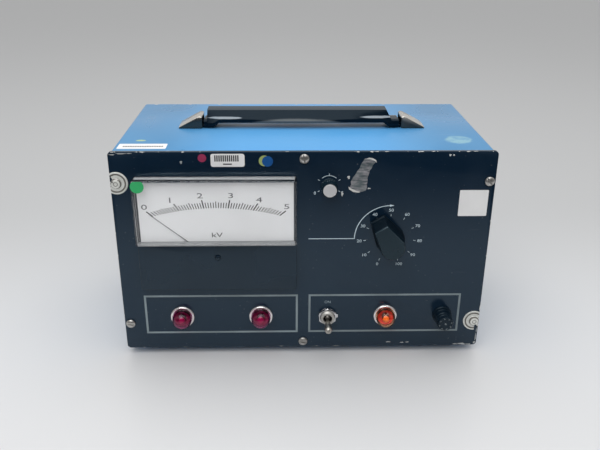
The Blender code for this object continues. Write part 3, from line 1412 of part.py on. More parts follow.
def make_circuit_board():
    """The board stands on four spacers and carries the trip relay and a capacitor."""
    board_low = BOARD_SPACER_HEIGHT
    board_high = board_low + BOARD_THICK
    at = (CASE_WIDTH / 2 - BOARD_FROM_SIDE, CASE_REAR_Y - BOARD_FROM_REAR, FLOOR)
    bm = bmesh.new()
    prism(bm, rectangle(BOARD_WIDTH, BOARD_DEPTH), board_low, board_high)
    board = new_object("circuit_board", bm, None, at)
    spacers = bmesh.new()
    for x in (-1, 1):
        for y in (-1, 1):
            centre = (x * (BOARD_WIDTH / 2 - BOARD_SPACER_INSET), y * (BOARD_DEPTH / 2 - BOARD_SPACER_INSET))
            prism(spacers, circle(BOARD_SPACER_RADIUS, SMALL, centre), 0.0, board_low + BOARD_THICK / 2)
    join(board, spacers, "spacers")
    parts = bmesh.new()
    wide, deep, tall = RELAY_SIZE
    low = board_high - BOARD_THICK / 2
    box(parts, (wide, deep, tall), (RELAY_FROM_BOARD_CENTRE, 0, low + tall / 2))
    capacitor = circle(CAPACITOR_RADIUS, COARSE, (CAPACITOR_FROM_BOARD_CENTRE, 0))
    prism(parts, capacitor, low, low + CAPACITOR_HEIGHT)
    join(board, parts, "parts")
    give_finish(board, BOARD_GREEN)


def make_bushings(frame):
    """Bushings that snap into the rear panel and are open right through for a cord."""
    catch = BUSHING_BARREL_RADIUS + HOLE_EASE + SEAT
    behind = -REAR_PANEL_THICK - SEAT
    for name, x in BUSHING_PLACES.items():
        bm = bmesh.new()
        turned(
            bm,
            [
                (BUSHING_BORE, BUSHING_PROUD),
                (BUSHING_NOSE_RADIUS, BUSHING_PROUD),
                (BUSHING_NOSE_RADIUS, BUSHING_FLANGE_THICK),
                (BUSHING_FLANGE_RADIUS, 0.8 * BUSHING_FLANGE_THICK),
                (BUSHING_FLANGE_RADIUS, SEAT),
                (BUSHING_BARREL_RADIUS, SEAT),
                (BUSHING_BARREL_RADIUS, behind),
                (catch, behind),
                (BUSHING_BARREL_RADIUS, 2 * behind),
                (BUSHING_BARREL_RADIUS, -BUSHING_BARREL_DEPTH),
                (BUSHING_BORE, -BUSHING_BARREL_DEPTH),
            ],
            COARSE,
        )
        give_finish(new_object(name, bm, frame, (x, BUSHING_Z, 0)), BLACK_PLASTIC)


def main():
    clear_scene()
    # In these frames x runs to the right, y up and z straight out of the panel.
    front = empty("front_frame", (0, PANEL_FACE_Y, PANEL_BOTTOM), (math.pi / 2, 0, 0))
    rear = empty("rear_frame", (0, REAR_FACE_Y, CASE_BOTTOM), (math.pi / 2, 0, math.pi))
    top = empty("top_frame", (0, handle_middle(), CASE_TOP), (0, 0, 0))
    make_case()
    make_front_panel(front)
    make_rear_panel(rear)
    make_screws(front, rear)
    make_feet()
    make_handle_cap("handle_cap_left", -1, top)
    make_handle_cap("handle_cap_right", 1, top)
    make_handle_grip(top)
    make_meter(front)
    for name, x in LAMP_PLACES.items():
        make_lamp(name, x, AMBER_LENS if name == "supply_lamp" else PLUM_LENS, front)
    make_toggle(front)
    make_leak_pot(front)
    make_variac(front)
    make_fuse_holder(front)
    make_transformer()
    make_circuit_board()
    make_bushings(rear)


main()
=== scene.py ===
import math

import bmesh
import bpy
from mathutils import Matrix, Vector


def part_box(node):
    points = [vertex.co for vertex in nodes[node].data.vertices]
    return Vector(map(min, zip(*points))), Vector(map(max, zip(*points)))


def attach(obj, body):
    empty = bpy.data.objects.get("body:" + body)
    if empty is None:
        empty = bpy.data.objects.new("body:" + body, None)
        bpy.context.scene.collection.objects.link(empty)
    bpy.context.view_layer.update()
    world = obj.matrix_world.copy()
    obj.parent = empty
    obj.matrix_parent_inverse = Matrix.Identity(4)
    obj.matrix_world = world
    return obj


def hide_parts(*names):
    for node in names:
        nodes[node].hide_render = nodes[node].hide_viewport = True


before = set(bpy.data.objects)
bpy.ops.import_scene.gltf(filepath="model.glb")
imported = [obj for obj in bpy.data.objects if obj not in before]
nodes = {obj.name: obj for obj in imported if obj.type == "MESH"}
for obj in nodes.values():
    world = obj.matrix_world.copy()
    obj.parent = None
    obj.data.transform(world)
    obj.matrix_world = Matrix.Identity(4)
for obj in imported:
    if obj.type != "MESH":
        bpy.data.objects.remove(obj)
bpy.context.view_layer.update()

mm = 0.001
front, rear, up = Vector((0, -1, 0)), Vector((0, 1, 0)), Vector((0, 0, 1))

# Places on the front panel are in millimetres: x from its middle, z from its lower edge,
# and out from its face. The rear panel is looked at from behind in the same way.
panelLow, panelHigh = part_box("front_panel")
rearLow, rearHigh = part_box("rear_panel")
caseLow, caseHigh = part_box("case_body")


def onPanel(x, z, out=0.0):
    return Vector((x * mm, panelLow.y - out * mm, panelLow.z + z * mm))


def middleOf(node):
    low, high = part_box(node)
    return (low + high) / 2


# Where the axis of a round node meets the front panel's face.
def axisOnPanel(node):
    middle = middleOf(node)
    return Vector((middle.x, panelLow.y, middle.z))


# Camera and light
cameraView = {
    "place": (-0.0170, -0.5937, 0.3479),
    "lens": 42.1,
    "sensor": 36.0,
    "pan": -1.528,
    "tilt": -23.422,
    "roll": -0.331,
}
lightLook = {
    "frontDim": 0.75,
    "dark": 0.07,
    "bright": 0.66,
    "keyPower": 10.0,
    "keySize": 1.5,
    "keyPlace": (0.0, 0.05, 1.35),
    "fillPower": 11.0,
    "fillSize": 1.2,
    "fillPlace": (-0.25, -1.15, 1.35),
    "floorPale": (0.665, 0.67, 0.68),
    # floorShadedFar: painted shade, the floor's colour far behind the bench.
    "floorShadedFar": (0.50, 0.505, 0.51),
    "floorTurn": (-0.16, 0.30),
    "cardStart": -0.24,
    "cardEnd": -0.62,
}


def makeCamera():
    data = bpy.data.cameras.new("camera")
    data.lens = cameraView["lens"]
    data.sensor_width = cameraView["sensor"]
    camera = bpy.data.objects.new("camera", data)
    bpy.context.scene.collection.objects.link(camera)
    turn = (
        Matrix.Rotation(math.radians(cameraView["pan"]), 4, "Z")
        @ Matrix.Rotation(math.radians(cameraView["tilt"]), 4, "X")
        @ Matrix.Rotation(math.radians(cameraView["roll"]), 4, "Y")
        @ Matrix.Rotation(math.radians(90), 4, "X")
    )
    camera.matrix_world = Matrix.Translation(cameraView["place"]) @ turn
    bpy.context.scene.camera = camera


def softLight(name, place, size, power):
    data = bpy.data.lights.new(name, "AREA")
    data.shape = "SQUARE"
    data.size = size
    data.energy = power
    light = bpy.data.objects.new(name, data)
    bpy.context.scene.collection.objects.link(light)
    light.location = place
    light.rotation_euler = (-Vector(place)).to_track_quat("-Z", "Y").to_euler()


# Small tools for nodes
def addNode(tree, kind, **values):
    made = tree.nodes.new("ShaderNode" + kind)
    for name, value in values.items():
        if name in ("operation", "blend_type", "data_type", "noise_dimensions", "feature", "mode", "interpolation_type", "wave_type", "bands_direction", "voronoi_dimensions", "vector_type"):
            setattr(made, name, value)
        else:
            made.inputs[name.replace("_", " ")].default_value = value
    return made


def wire(tree, source, target):
    tree.links.new(source, target)


def maths(tree, operation, first, second=None, clamp=False):
    made = tree.nodes.new("ShaderNodeMath")
    made.operation = operation
    made.use_clamp = clamp
    for socket, value in zip(made.inputs, (first, second)):
        if value is None:
            continue
        if isinstance(value, (int, float)):
            socket.default_value = value
        else:
            wire(tree, value, socket)
    return made.outputs[0]


def mixColour(tree, share, first, second):
    made = tree.nodes.new("ShaderNodeMix")
    made.data_type = "RGBA"
    for socket, value in ((made.inputs["Factor"], share), (made.inputs[6], first), (made.inputs[7], second)):
        if isinstance(value, (int, float)):
            socket.default_value = value
        elif isinstance(value, tuple):
            socket.default_value = (*value, 1.0)
        else:
            wire(tree, value, socket)
    return made.outputs[2]


def mapRange(tree, value, fromLow, fromHigh, toLow=0.0, toHigh=1.0):
    made = tree.nodes.new("ShaderNodeMapRange")
    made.interpolation_type = "SMOOTHSTEP"
    for socket, number in zip(made.inputs[1:5], (fromLow, fromHigh, toLow, toHigh)):
        if isinstance(number, (int, float)):
            socket.default_value = number
        else:
            wire(tree, number, socket)
    wire(tree, value, made.inputs[0])
    return made.outputs[0]


def newGroup(name, inputs, outputs):
    group = bpy.data.node_groups.new(name, "ShaderNodeTree")
    for label, kind, value in inputs:
        socket = group.interface.new_socket(label, in_out="INPUT", socket_type=kind)
        if value is not None:
            socket.default_value = value
    for label, kind in outputs:
        group.interface.new_socket(label, in_out="OUTPUT", socket_type=kind)
    return group, group.nodes.new("NodeGroupInput"), group.nodes.new("NodeGroupOutput")


def useGroup(tree, group, vector, **values):
    made = tree.nodes.new("ShaderNodeGroup")
    made.node_tree = group
    wire(tree, vector, made.inputs["Vector"])
    for name, value in values.items():
        made.inputs[name.replace("_", " ")].default_value = value
    return made.outputs


# Fine unevenness of a painted or moulded skin: a height for a bump and a roughness that wanders.
def makeGrainGroup():
    group, given, result = newGroup(
        "skinGrain",
        [
            ("Vector", "NodeSocketVector", None),
            ("Grain Scale", "NodeSocketFloat", 900.0),
            ("Smear Scale", "NodeSocketFloat", 22.0),
            ("Low Roughness", "NodeSocketFloat", 0.2),
            ("High Roughness", "NodeSocketFloat", 0.4),
        ],
        [("Height", "NodeSocketFloat"), ("Roughness", "NodeSocketFloat"), ("Smear", "NodeSocketFloat")],
    )
    grain = addNode(group, "TexNoise", Detail=3.0)
    smear = addNode(group, "TexNoise", Detail=5.0, Distortion=0.6)
    wire(group, given.outputs["Vector"], grain.inputs["Vector"])
    wire(group, given.outputs["Grain Scale"], grain.inputs["Scale"])
    wire(group, given.outputs["Vector"], smear.inputs["Vector"])
    wire(group, given.outputs["Smear Scale"], smear.inputs["Scale"])
    wire(group, grain.outputs["Fac"], result.inputs["Height"])
    spread = mapRange(group, smear.outputs["Fac"], 0.35, 0.68, given.outputs["Low Roughness"], given.outputs["High Roughness"])
    wire(group, spread, result.inputs["Roughness"])
    wire(group, mapRange(group, smear.outputs["Fac"], 0.35, 0.68), result.inputs["Smear"])
    return group


# Paint knocked off near the edges of a box: 1 on bare metal, 0 on paint. On a face, one of the three
# distances to the box's sides is nothing, so the middle one of the three is the way to the nearest edge.
def makeNickGroup():
    group, given, result = newGroup(
        "edgeNicks",
        [
            ("Vector", "NodeSocketVector", None),
            ("Middle", "NodeSocketVector", (0, 0, 0)),
            ("Half Size", "NodeSocketVector", (1, 1, 1)),
            ("Reach", "NodeSocketFloat", 0.002),
            ("Scale", "NodeSocketFloat", 160.0),
            ("Amount", "NodeSocketFloat", 0.5),
        ],
        [("Mask", "NodeSocketFloat")],
    )
    offset = addNode(group, "VectorMath", operation="SUBTRACT")
    wire(group, given.outputs["Vector"], offset.inputs[0])
    wire(group, given.outputs["Middle"], offset.inputs[1])
    size = addNode(group, "VectorMath", operation="ABSOLUTE")
    wire(group, offset.outputs[0], size.inputs[0])
    room = addNode(group, "VectorMath", operation="SUBTRACT")
    wire(group, given.outputs["Half Size"], room.inputs[0])
    wire(group, size.outputs[0], room.inputs[1])
    parts = addNode(group, "SeparateXYZ")
    wire(group, room.outputs[0], parts.inputs[0])
    less = maths(group, "MINIMUM", parts.outputs["X"], parts.outputs["Y"])
    more = maths(group, "MAXIMUM", parts.outputs["X"], parts.outputs["Y"])
    nearEdge = maths(group, "MAXIMUM", less, maths(group, "MINIMUM", more, parts.outputs["Z"]))
    noise = addNode(group, "TexNoise", Detail=6.0, Roughness=0.62)
    wire(group, given.outputs["Vector"], noise.inputs["Vector"])
    wire(group, given.outputs["Scale"], noise.inputs["Scale"])
    bite = maths(group, "MULTIPLY", maths(group, "SUBTRACT", noise.outputs["Fac"], 0.56), given.outputs["Amount"])
    reach = maths(group, "MULTIPLY", maths(group, "MULTIPLY", bite, 8.0), given.outputs["Reach"])
    left = maths(group, "SUBTRACT", reach, nearEdge)
    wire(group, mapRange(group, left, 0.0, 0.0002), result.inputs["Mask"])
    return group


# A ragged patch of something rubbed on: an ellipse round the origin of the vector that comes in.
def makePatchGroup():
    group, given, result = newGroup(
        "ruggedPatch",
        [
            ("Vector", "NodeSocketVector", None),
            ("Half Size", "NodeSocketVector", (0.01, 0.01, 0.01)),
            ("Scale", "NodeSocketFloat", 200.0),
            ("Raggedness", "NodeSocketFloat", 0.5),
            ("Density", "NodeSocketFloat", 0.6),
        ],
        [("Mask", "NodeSocketFloat")],
    )
    share = addNode(group, "VectorMath", operation="DIVIDE")
    wire(group, given.outputs["Vector"], share.inputs[0])
    wire(group, given.outputs["Half Size"], share.inputs[1])
    reach = addNode(group, "VectorMath", operation="LENGTH")
    wire(group, share.outputs[0], reach.inputs[0])
    noise = addNode(group, "TexNoise", Detail=6.0, Roughness=0.65)
    wire(group, given.outputs["Vector"], noise.inputs["Vector"])
    wire(group, given.outputs["Scale"], noise.inputs["Scale"])
    ragged = maths(group, "MULTIPLY", maths(group, "SUBTRACT", noise.outputs["Fac"], 0.5), given.outputs["Raggedness"])
    edge = mapRange(group, maths(group, "ADD", reach.outputs["Value"], maths(group, "MULTIPLY", ragged, 4.0)), 1.0, 0.75)
    holes = mapRange(group, maths(group, "ADD", noise.outputs["Fac"], given.outputs["Density"]), 0.9, 1.2)
    wire(group, maths(group, "MULTIPLY", edge, holes), result.inputs["Mask"])
    return group


# Fine straight scratches and specks.
def makeScratchGroup():
    group, given, result = newGroup(
        "fineScratches",
        [
            ("Vector", "NodeSocketVector", None),
            ("Turn", "NodeSocketVector", (0, 0, 0)),
            ("Scale", "NodeSocketVector", (30.0, 30.0, 1200.0)),
            ("Threshold", "NodeSocketFloat", 0.7),
        ],
        [("Mask", "NodeSocketFloat")],
    )
    mapping = addNode(group, "Mapping")
    wire(group, given.outputs["Vector"], mapping.inputs["Vector"])
    wire(group, given.outputs["Turn"], mapping.inputs["Rotation"])
    wire(group, given.outputs["Scale"], mapping.inputs["Scale"])
    noise = addNode(group, "TexNoise", Scale=1.0, Detail=2.0)
    wire(group, mapping.outputs["Vector"], noise.inputs["Vector"])
    over = maths(group, "SUBTRACT", noise.outputs["Fac"], given.outputs["Threshold"])
    wire(group, mapRange(group, over, 0.0, 0.04), result.inputs["Mask"])
    return group


print("groups")
skinGrain = makeGrainGroup()
edgeNicks = makeNickGroup()
ruggedPatch = makePatchGroup()
fineScratches = makeScratchGroup()


# A material with its shader and its object coordinates ready to use.
def newMaterial(name, colour, roughness, metallic=0.0, **values):
    material = bpy.data.materials.new(name)
    material.use_nodes = True
    tree = material.node_tree
    shader = tree.nodes["Principled BSDF"]
    shader.inputs["Base Color"].default_value = (*colour, 1.0)
    shader.inputs["Roughness"].default_value = roughness
    shader.inputs["Metallic"].default_value = metallic
    for label, value in values.items():
        shader.inputs[label.replace("_", " ")].default_value = value
    place = tree.nodes.new("ShaderNodeTexCoord").outputs["Object"]
    return material, tree, shader, place


def addBump(tree, shader, height, strength, distance):
    bump = addNode(tree, "Bump", Strength=strength, Distance=distance)
    wire(tree, height, bump.inputs["Height"])
    wire(tree, bump.outputs["Normal"], shader.inputs["Normal"])


# A plain skin: colour that drifts a little, roughness that wanders and a fine grain.
def skinMaterial(name, colour, low, high, metallic=0.0, grain=900.0, depth=0.00002, drift=0.12, **values):
    material, tree, shader, place = newMaterial(name, colour, low, metallic, **values)
    skin = useGroup(tree, skinGrain, place, Grain_Scale=grain, Low_Roughness=low, High_Roughness=high)
    darker = tuple(channel * (1 - drift) for channel in colour)
    wire(tree, mixColour(tree, skin["Smear"], colour, darker), shader.inputs["Base Color"])
    wire(tree, skin["Roughness"], shader.inputs["Roughness"])
    addBump(tree, shader, skin["Height"], 0.5, depth)
    return material


# Where a patch lies: object coordinates moved and turned so that the patch is round their origin.
def patchPlace(tree, place, middle, turn=(0, 0, 0)):
    mapping = tree.nodes.new("ShaderNodeMapping")
    mapping.vector_type = "TEXTURE"
    mapping.inputs["Location"].default_value = middle
    mapping.inputs["Rotation"].default_value = turn
    wire(tree, place, mapping.inputs["Vector"])
    return mapping.outputs["Vector"]


navyLook = {
    "paint": (0.0048, 0.0150, 0.0315),
    "bare": (0.52, 0.51, 0.49),
    "roughness": (0.10, 0.19),
    "nickReach": 0.0006,
}


def makeNavyPaint():
    material, tree, shader, place = newMaterial("navyPanelPaint", navyLook["paint"], 0.12, Specular_Tint=(0.70, 0.88, 1.0, 1.0))
    skin = useGroup(
        tree, skinGrain, place, Grain_Scale=700.0, Smear_Scale=26.0,
        Low_Roughness=navyLook["roughness"][0], High_Roughness=navyLook["roughness"][1],
    )
    middle, half = (panelLow + panelHigh) / 2, (panelHigh - panelLow) / 2
    nicks = useGroup(
        tree, edgeNicks, place, Middle=middle, Half_Size=half, Reach=navyLook["nickReach"], Scale=150.0, Amount=1.6,
    )["Mask"]
    specks = addNode(tree, "TexNoise", Scale=420.0, Detail=1.0)
    wire(tree, place, specks.inputs["Vector"])
    dust = mapRange(tree, specks.outputs["Fac"], 0.74, 0.80)
    scratch = useGroup(tree, fineScratches, place, Turn=(0, 0.5, 0), Scale=(26.0, 26.0, 900.0), Threshold=0.735)["Mask"]
    colour = mixColour(tree, maths(tree, "MULTIPLY", skin["Smear"], 0.35), navyLook["paint"], (0.008, 0.020, 0.038))
    colour = mixColour(tree, maths(tree, "MULTIPLY", dust, 0.25), colour, (0.16, 0.17, 0.18))
    colour = mixColour(tree, maths(tree, "MULTIPLY", scratch, 0.10), colour, (0.2, 0.21, 0.22))
    colour = mixColour(tree, nicks, colour, navyLook["bare"])
    wire(tree, colour, shader.inputs["Base Color"])
    matt = maths(tree, "MAXIMUM", skin["Roughness"], maths(tree, "MULTIPLY", nicks, 0.5))
    wire(tree, matt, shader.inputs["Roughness"])
    addBump(tree, shader, maths(tree, "SUBTRACT", skin["Height"], maths(tree, "MULTIPLY", nicks, 3.0)), 0.35, 0.00002)
    return material


# The case's blue carries painted shade: a darker blue towards both ends of the top and on the upright sides.
blueLook = {
    "paint": (0.078, 0.335, 0.68),
    "shadedEnds": (0.060, 0.228, 0.44),
    "sides": (0.068, 0.275, 0.54),
    "endShadeFrom": 0.045,
    "endShadeTo": 0.125,
    "bare": (0.5, 0.5, 0.48),
    "roughness": (0.26, 0.42),
    "nickReach": 0.0005,
    "paleSmudge": (0.1285, -0.0375),
    "paleHalf": (0.0125, 0.0125, 0.01),
    "yellowSmudge": (-0.1325, -0.038),
    "yellowHalf": (0.0045, 0.0022, 0.01),
}


def makeBluePaint():
    material, tree, shader, place = newMaterial("blueCasePaint", blueLook["paint"], 0.3, Specular_IOR_Level=0.36)
    skin = useGroup(
        tree, skinGrain, place, Grain_Scale=620.0, Smear_Scale=12.0,
        Low_Roughness=blueLook["roughness"][0], High_Roughness=blueLook["roughness"][1],
    )
    middle, half = (caseLow + caseHigh) / 2, (caseHigh - caseLow) / 2
    nicks = useGroup(
        tree, edgeNicks, place, Middle=middle, Half_Size=half, Reach=blueLook["nickReach"], Scale=120.0, Amount=1.0,
    )["Mask"]
    pale = useGroup(
        tree, ruggedPatch, patchPlace(tree, place, (*blueLook["paleSmudge"], caseHigh.z)),
        Half_Size=blueLook["paleHalf"], Scale=70.0, Raggedness=0.25, Density=0.62,
    )["Mask"]
    yellow = useGroup(
        tree, ruggedPatch, patchPlace(tree, place, (*blueLook["yellowSmudge"], caseHigh.z)),
        Half_Size=blueLook["yellowHalf"], Scale=260.0, Raggedness=0.3, Density=0.7,
    )["Mask"]
    scratch = useGroup(tree, fineScratches, place, Turn=(0, 0, 0.25), Scale=(14.0, 900.0, 14.0), Threshold=0.72)["Mask"]
    parts = addNode(tree, "SeparateXYZ")
    wire(tree, place, parts.inputs[0])
    # Painted shade: darker towards both ends of the top, and darker on the upright sides.
    endShade = mapRange(tree, maths(tree, "ABSOLUTE", parts.outputs["X"]), blueLook["endShadeFrom"], blueLook["endShadeTo"])
    onTop = mapRange(tree, parts.outputs["Z"], caseHigh.z - 0.003, caseHigh.z - 0.0005)
    colour = mixColour(tree, endShade, blueLook["paint"], blueLook["shadedEnds"])
    colour = mixColour(tree, onTop, blueLook["sides"], colour)
    colour = mixColour(tree, maths(tree, "MULTIPLY", skin["Smear"], 0.22), colour, (0.17, 0.36, 0.58))
    colour = mixColour(tree, maths(tree, "MULTIPLY", scratch, 0.18), colour, (0.55, 0.68, 0.78))
    colour = mixColour(tree, maths(tree, "MULTIPLY", pale, 0.42), colour, (0.42, 0.66, 0.60))
    colour = mixColour(tree, maths(tree, "MULTIPLY", yellow, 0.8), colour, (0.5, 0.62, 0.25))
    colour = mixColour(tree, nicks, colour, blueLook["bare"])
    wire(tree, colour, shader.inputs["Base Color"])
    wire(tree, skin["Roughness"], shader.inputs["Roughness"])
    addBump(tree, shader, maths(tree, "SUBTRACT", skin["Height"], maths(tree, "MULTIPLY", nicks, 2.0)), 0.5, 0.00003)
    return material


# What a pulled-off strip of tape leaves: grey gum in streaks with the paint showing through.
def makeTapeGum():
    material, tree, shader, place = newMaterial("tapeGum", (0.2, 0.2, 0.21), 0.5)
    mapping = addNode(tree, "Mapping")
    mapping.inputs["Rotation"].default_value = (0, math.radians(38), 0)
    mapping.inputs["Scale"].default_value = (130.0, 130.0, 620.0)
    wire(tree, place, mapping.inputs["Vector"])
    streaks = addNode(tree, "TexNoise", Scale=1.0, Detail=4.0, Roughness=0.6, Distortion=0.4)
    wire(tree, mapping.outputs["Vector"], streaks.inputs["Vector"])
    blotches = addNode(tree, "TexNoise", Scale=190.0, Detail=3.0)
    wire(tree, place, blotches.inputs["Vector"])
    thick = mapRange(tree, streaks.outputs["Fac"], 0.38, 0.64)
    thin = mapRange(tree, blotches.outputs["Fac"], 0.36, 0.62)
    colour = mixColour(tree, maths(tree, "MULTIPLY", thick, 0.75), (0.06, 0.075, 0.085), (0.40, 0.375, 0.40))
    colour = mixColour(tree, maths(tree, "MULTIPLY", thin, 0.5), colour, (0.085, 0.12, 0.125))
    wire(tree, colour, shader.inputs["Base Color"])
    wire(tree, mapRange(tree, thick, 0.0, 1.0, 0.3, 0.65), shader.inputs["Roughness"])
    addBump(tree, shader, streaks.outputs["Fac"], 0.4, 0.00008)
    return material


# Clear or tinted plastic that lets the lamps' light through to what is behind it.
def clearMaterial(name, colour, roughness, ior, gloss=0.5):
    material, tree, shader, place = newMaterial(
        name, colour, roughness, Transmission_Weight=1.0, IOR=ior, Specular_IOR_Level=gloss,
    )
    skin = useGroup(tree, skinGrain, place, Grain_Scale=300.0, Smear_Scale=30.0, Low_Roughness=roughness, High_Roughness=roughness * 2.5)
    wire(tree, skin["Roughness"], shader.inputs["Roughness"])
    path = tree.nodes.new("ShaderNodeLightPath")
    through = tree.nodes.new("ShaderNodeBsdfTransparent")
    through.inputs["Color"].default_value = (*(0.15 + 0.85 * channel for channel in colour), 1.0)
    mixed = tree.nodes.new("ShaderNodeMixShader")
    output = tree.nodes["Material Output"]
    wire(tree, path.outputs["Is Shadow Ray"], mixed.inputs["Fac"])
    wire(tree, shader.outputs[0], mixed.inputs[1])
    wire(tree, through.outputs[0], mixed.inputs[2])
    wire(tree, mixed.outputs[0], output.inputs["Surface"])
    return material


# Sheet laminations or turns of wire: fine bands along one axis.
def bandedMaterial(name, first, second, scale, direction, roughness, metallic):
    material, tree, shader, place = newMaterial(name, first, roughness, metallic)
    bands = addNode(tree, "TexWave", Scale=scale, Distortion=0.4, Detail=2.0)
    bands.bands_direction = direction
    wire(tree, place, bands.inputs["Vector"])
    wire(tree, mixColour(tree, bands.outputs["Fac"], first, second), shader.inputs["Base Color"])
    skin = useGroup(tree, skinGrain, place, Low_Roughness=roughness, High_Roughness=roughness + 0.2)
    wire(tree, skin["Roughness"], shader.inputs["Roughness"])
    addBump(tree, shader, bands.outputs["Fac"], 0.6, 0.0002)
    return material


print("materials")
navyPaint = makeNavyPaint()
bluePaint = makeBluePaint()
navyGlint = (0.70, 0.88, 1.0, 1.0)
knobBlack = skinMaterial("knobBlack", (0.0042, 0.0145, 0.0225), 0.12, 0.24, grain=800.0, depth=0.00001, Specular_Tint=navyGlint)
capBlack = skinMaterial("capBlack", (0.0030, 0.0095, 0.0180), 0.22, 0.36, grain=800.0, Specular_IOR_Level=0.34, Specular_Tint=navyGlint)
knobShade = skinMaterial("knobShade", (0.0016, 0.0060, 0.0115), 0.35, 0.5, grain=800.0, Specular_IOR_Level=0.2, Specular_Tint=navyGlint)
meterBlack = skinMaterial("meterBlack", (0.0035, 0.0115, 0.024), 0.11, 0.20, grain=650.0, depth=0.00001, Specular_Tint=navyGlint)
mouldedBlack = skinMaterial("mouldedBlack", (0.012, 0.012, 0.013), 0.35, 0.55, grain=700.0, depth=0.00003)
rubberBlack = skinMaterial("rubberBlack", (0.014, 0.014, 0.014), 0.65, 0.85, grain=1500.0, depth=0.00006)
satinNickel = skinMaterial("satinNickel", (0.60, 0.59, 0.56), 0.34, 0.5, metallic=0.85, grain=900.0, drift=0.25)
nickelPlate = skinMaterial("nickelPlate", (0.60, 0.575, 0.53), 0.20, 0.42, metallic=1.0, grain=600.0, drift=0.3)
chromePlate = skinMaterial("chromePlate", (0.78, 0.78, 0.80), 0.08, 0.22, metallic=1.0, grain=500.0, drift=0.2)
zincSteel = skinMaterial("zincSteel", (0.52, 0.51, 0.49), 0.28, 0.5, metallic=1.0, grain=900.0, drift=0.35)
brightBezel = skinMaterial("brightBezel", (0.86, 0.83, 0.83), 0.16, 0.3, metallic=0.9, grain=500.0, drift=0.15)
spunSilver = skinMaterial("spunSilver", (0.82, 0.82, 0.83), 0.25, 0.4, metallic=0.6, grain=900.0, drift=0.1)
dialCard = skinMaterial("dialCard", (0.86, 0.86, 0.865), 0.5, 0.65, grain=900.0, depth=0.00001, drift=0.05)
dialInk = skinMaterial("dialInk", (0.006, 0.006, 0.008), 0.5, 0.6, drift=0.3)
numberInk = skinMaterial("numberInk", (0.12, 0.12, 0.13), 0.5, 0.6, drift=0.3)
pointerInk = skinMaterial("pointerInk", (0.12, 0.12, 0.125), 0.4, 0.5, drift=0.3)
whiteInk = skinMaterial("whiteInk", (0.68, 0.82, 0.90), 0.35, 0.5, drift=0.25)
greyInk = skinMaterial("greyInk", (0.245, 0.305, 0.33), 0.3, 0.5, drift=0.3)
dimInk = skinMaterial("dimInk", (0.36, 0.45, 0.50), 0.35, 0.5, drift=0.25)
labelPaper = skinMaterial("labelPaper", (0.82, 0.82, 0.82), 0.45, 0.6, grain=1500.0, drift=0.08)
tapeGum = makeTapeGum()
tapeEdge = skinMaterial("tapeEdge", (0.62, 0.62, 0.60), 0.4, 0.6, grain=900.0, drift=0.4)
barInk = skinMaterial("barInk", (0.035, 0.035, 0.038), 0.45, 0.6, drift=0.3)
bareChip = skinMaterial("bareChip", (0.55, 0.57, 0.57), 0.35, 0.6, drift=0.4)
sealFoil = skinMaterial("sealFoil", (0.80, 0.81, 0.77), 0.3, 0.5, metallic=0.25, grain=420.0, depth=0.0001, drift=0.2)
sealShade = skinMaterial("sealShade", (0.20, 0.19, 0.17), 0.4, 0.6, metallic=0.25, grain=420.0, depth=0.0001, drift=0.4)
redDotPaper = skinMaterial("redDotPaper", (0.33, 0.030, 0.095), 0.45, 0.6, drift=0.3, Specular_IOR_Level=0.25)
blueDotPaper = skinMaterial("blueDotPaper", (0.005, 0.085, 0.30), 0.45, 0.6, drift=0.4, Specular_IOR_Level=0.2)
limeDotPaper = skinMaterial("limeDotPaper", (0.38, 0.46, 0.16), 0.45, 0.6, drift=0.5, Specular_IOR_Level=0.25)
greenDotPaper = skinMaterial("greenDotPaper", (0.028, 0.47, 0.15), 0.35, 0.5, drift=0.15)
# Painted light and shade for the meter window: a grey lip, a pale strip along the top wall and dark strips down the
# sides.
paintedLipLight = skinMaterial("paintedLipLight", (0.27, 0.28, 0.285), 0.35, 0.5, drift=0.15)
lipShade = skinMaterial("lipShade", (0.03, 0.032, 0.035), 0.35, 0.5, drift=0.15)
paintedWallLight = skinMaterial("paintedWallLight", (0.56, 0.57, 0.58), 0.3, 0.45, drift=0.1)
windowClear = clearMaterial("windowClear", (0.97, 0.975, 0.98), 0.02, 1.46)
bulbGlass = clearMaterial("bulbGlass", (0.96, 0.96, 0.97), 0.03, 1.45)
copperWire = bandedMaterial("copperWire", (0.55, 0.22, 0.09), (0.30, 0.10, 0.04), 260.0, "Z", 0.3, 0.85)
coreIron = bandedMaterial("coreIron", (0.10, 0.10, 0.11), (0.04, 0.04, 0.045), 320.0, "Y", 0.45, 0.8)
boardGreen = skinMaterial("boardGreen", (0.04, 0.17, 0.08), 0.3, 0.5, grain=300.0, depth=0.0001, drift=0.5)
lampRose = skinMaterial("lampRose", (0.92, 0.24, 0.52), 0.3, 0.45, drift=0.1)
# A painted glow: a pale bright yellow for the amber lamp's bulb, which is not lit.
paintedGlowYellow = skinMaterial("paintedGlowYellow", (1.0, 0.98, 0.55), 0.3, 0.45, drift=0.05)
bulbFrost = skinMaterial("bulbFrost", (0.95, 0.90, 0.50), 0.3, 0.45, drift=0.1)
bulbPink = skinMaterial("bulbPink", (0.80, 0.74, 0.78), 0.3, 0.45, drift=0.1)
lampPale = skinMaterial("lampPale", (0.86, 0.80, 0.66), 0.4, 0.6, grain=700.0, drift=0.15)
lampGrey = skinMaterial("lampGrey", (0.62, 0.60, 0.62), 0.4, 0.6, grain=700.0, drift=0.3)
capGlint = skinMaterial("capGlint", (0.17, 0.20, 0.215), 0.08, 0.16, metallic=0.5, drift=0.3)
fuseGlass = skinMaterial("fuseGlass", (0.62, 0.66, 0.66), 0.08, 0.2, metallic=0.3, grain=300.0, drift=0.2)


lensLook = {"plum": (0.60, 0.04, 0.27), "amber": (0.95, 0.43, 0.19), "roughness": 0.05, "ior": 1.49, "gloss": 0.16}


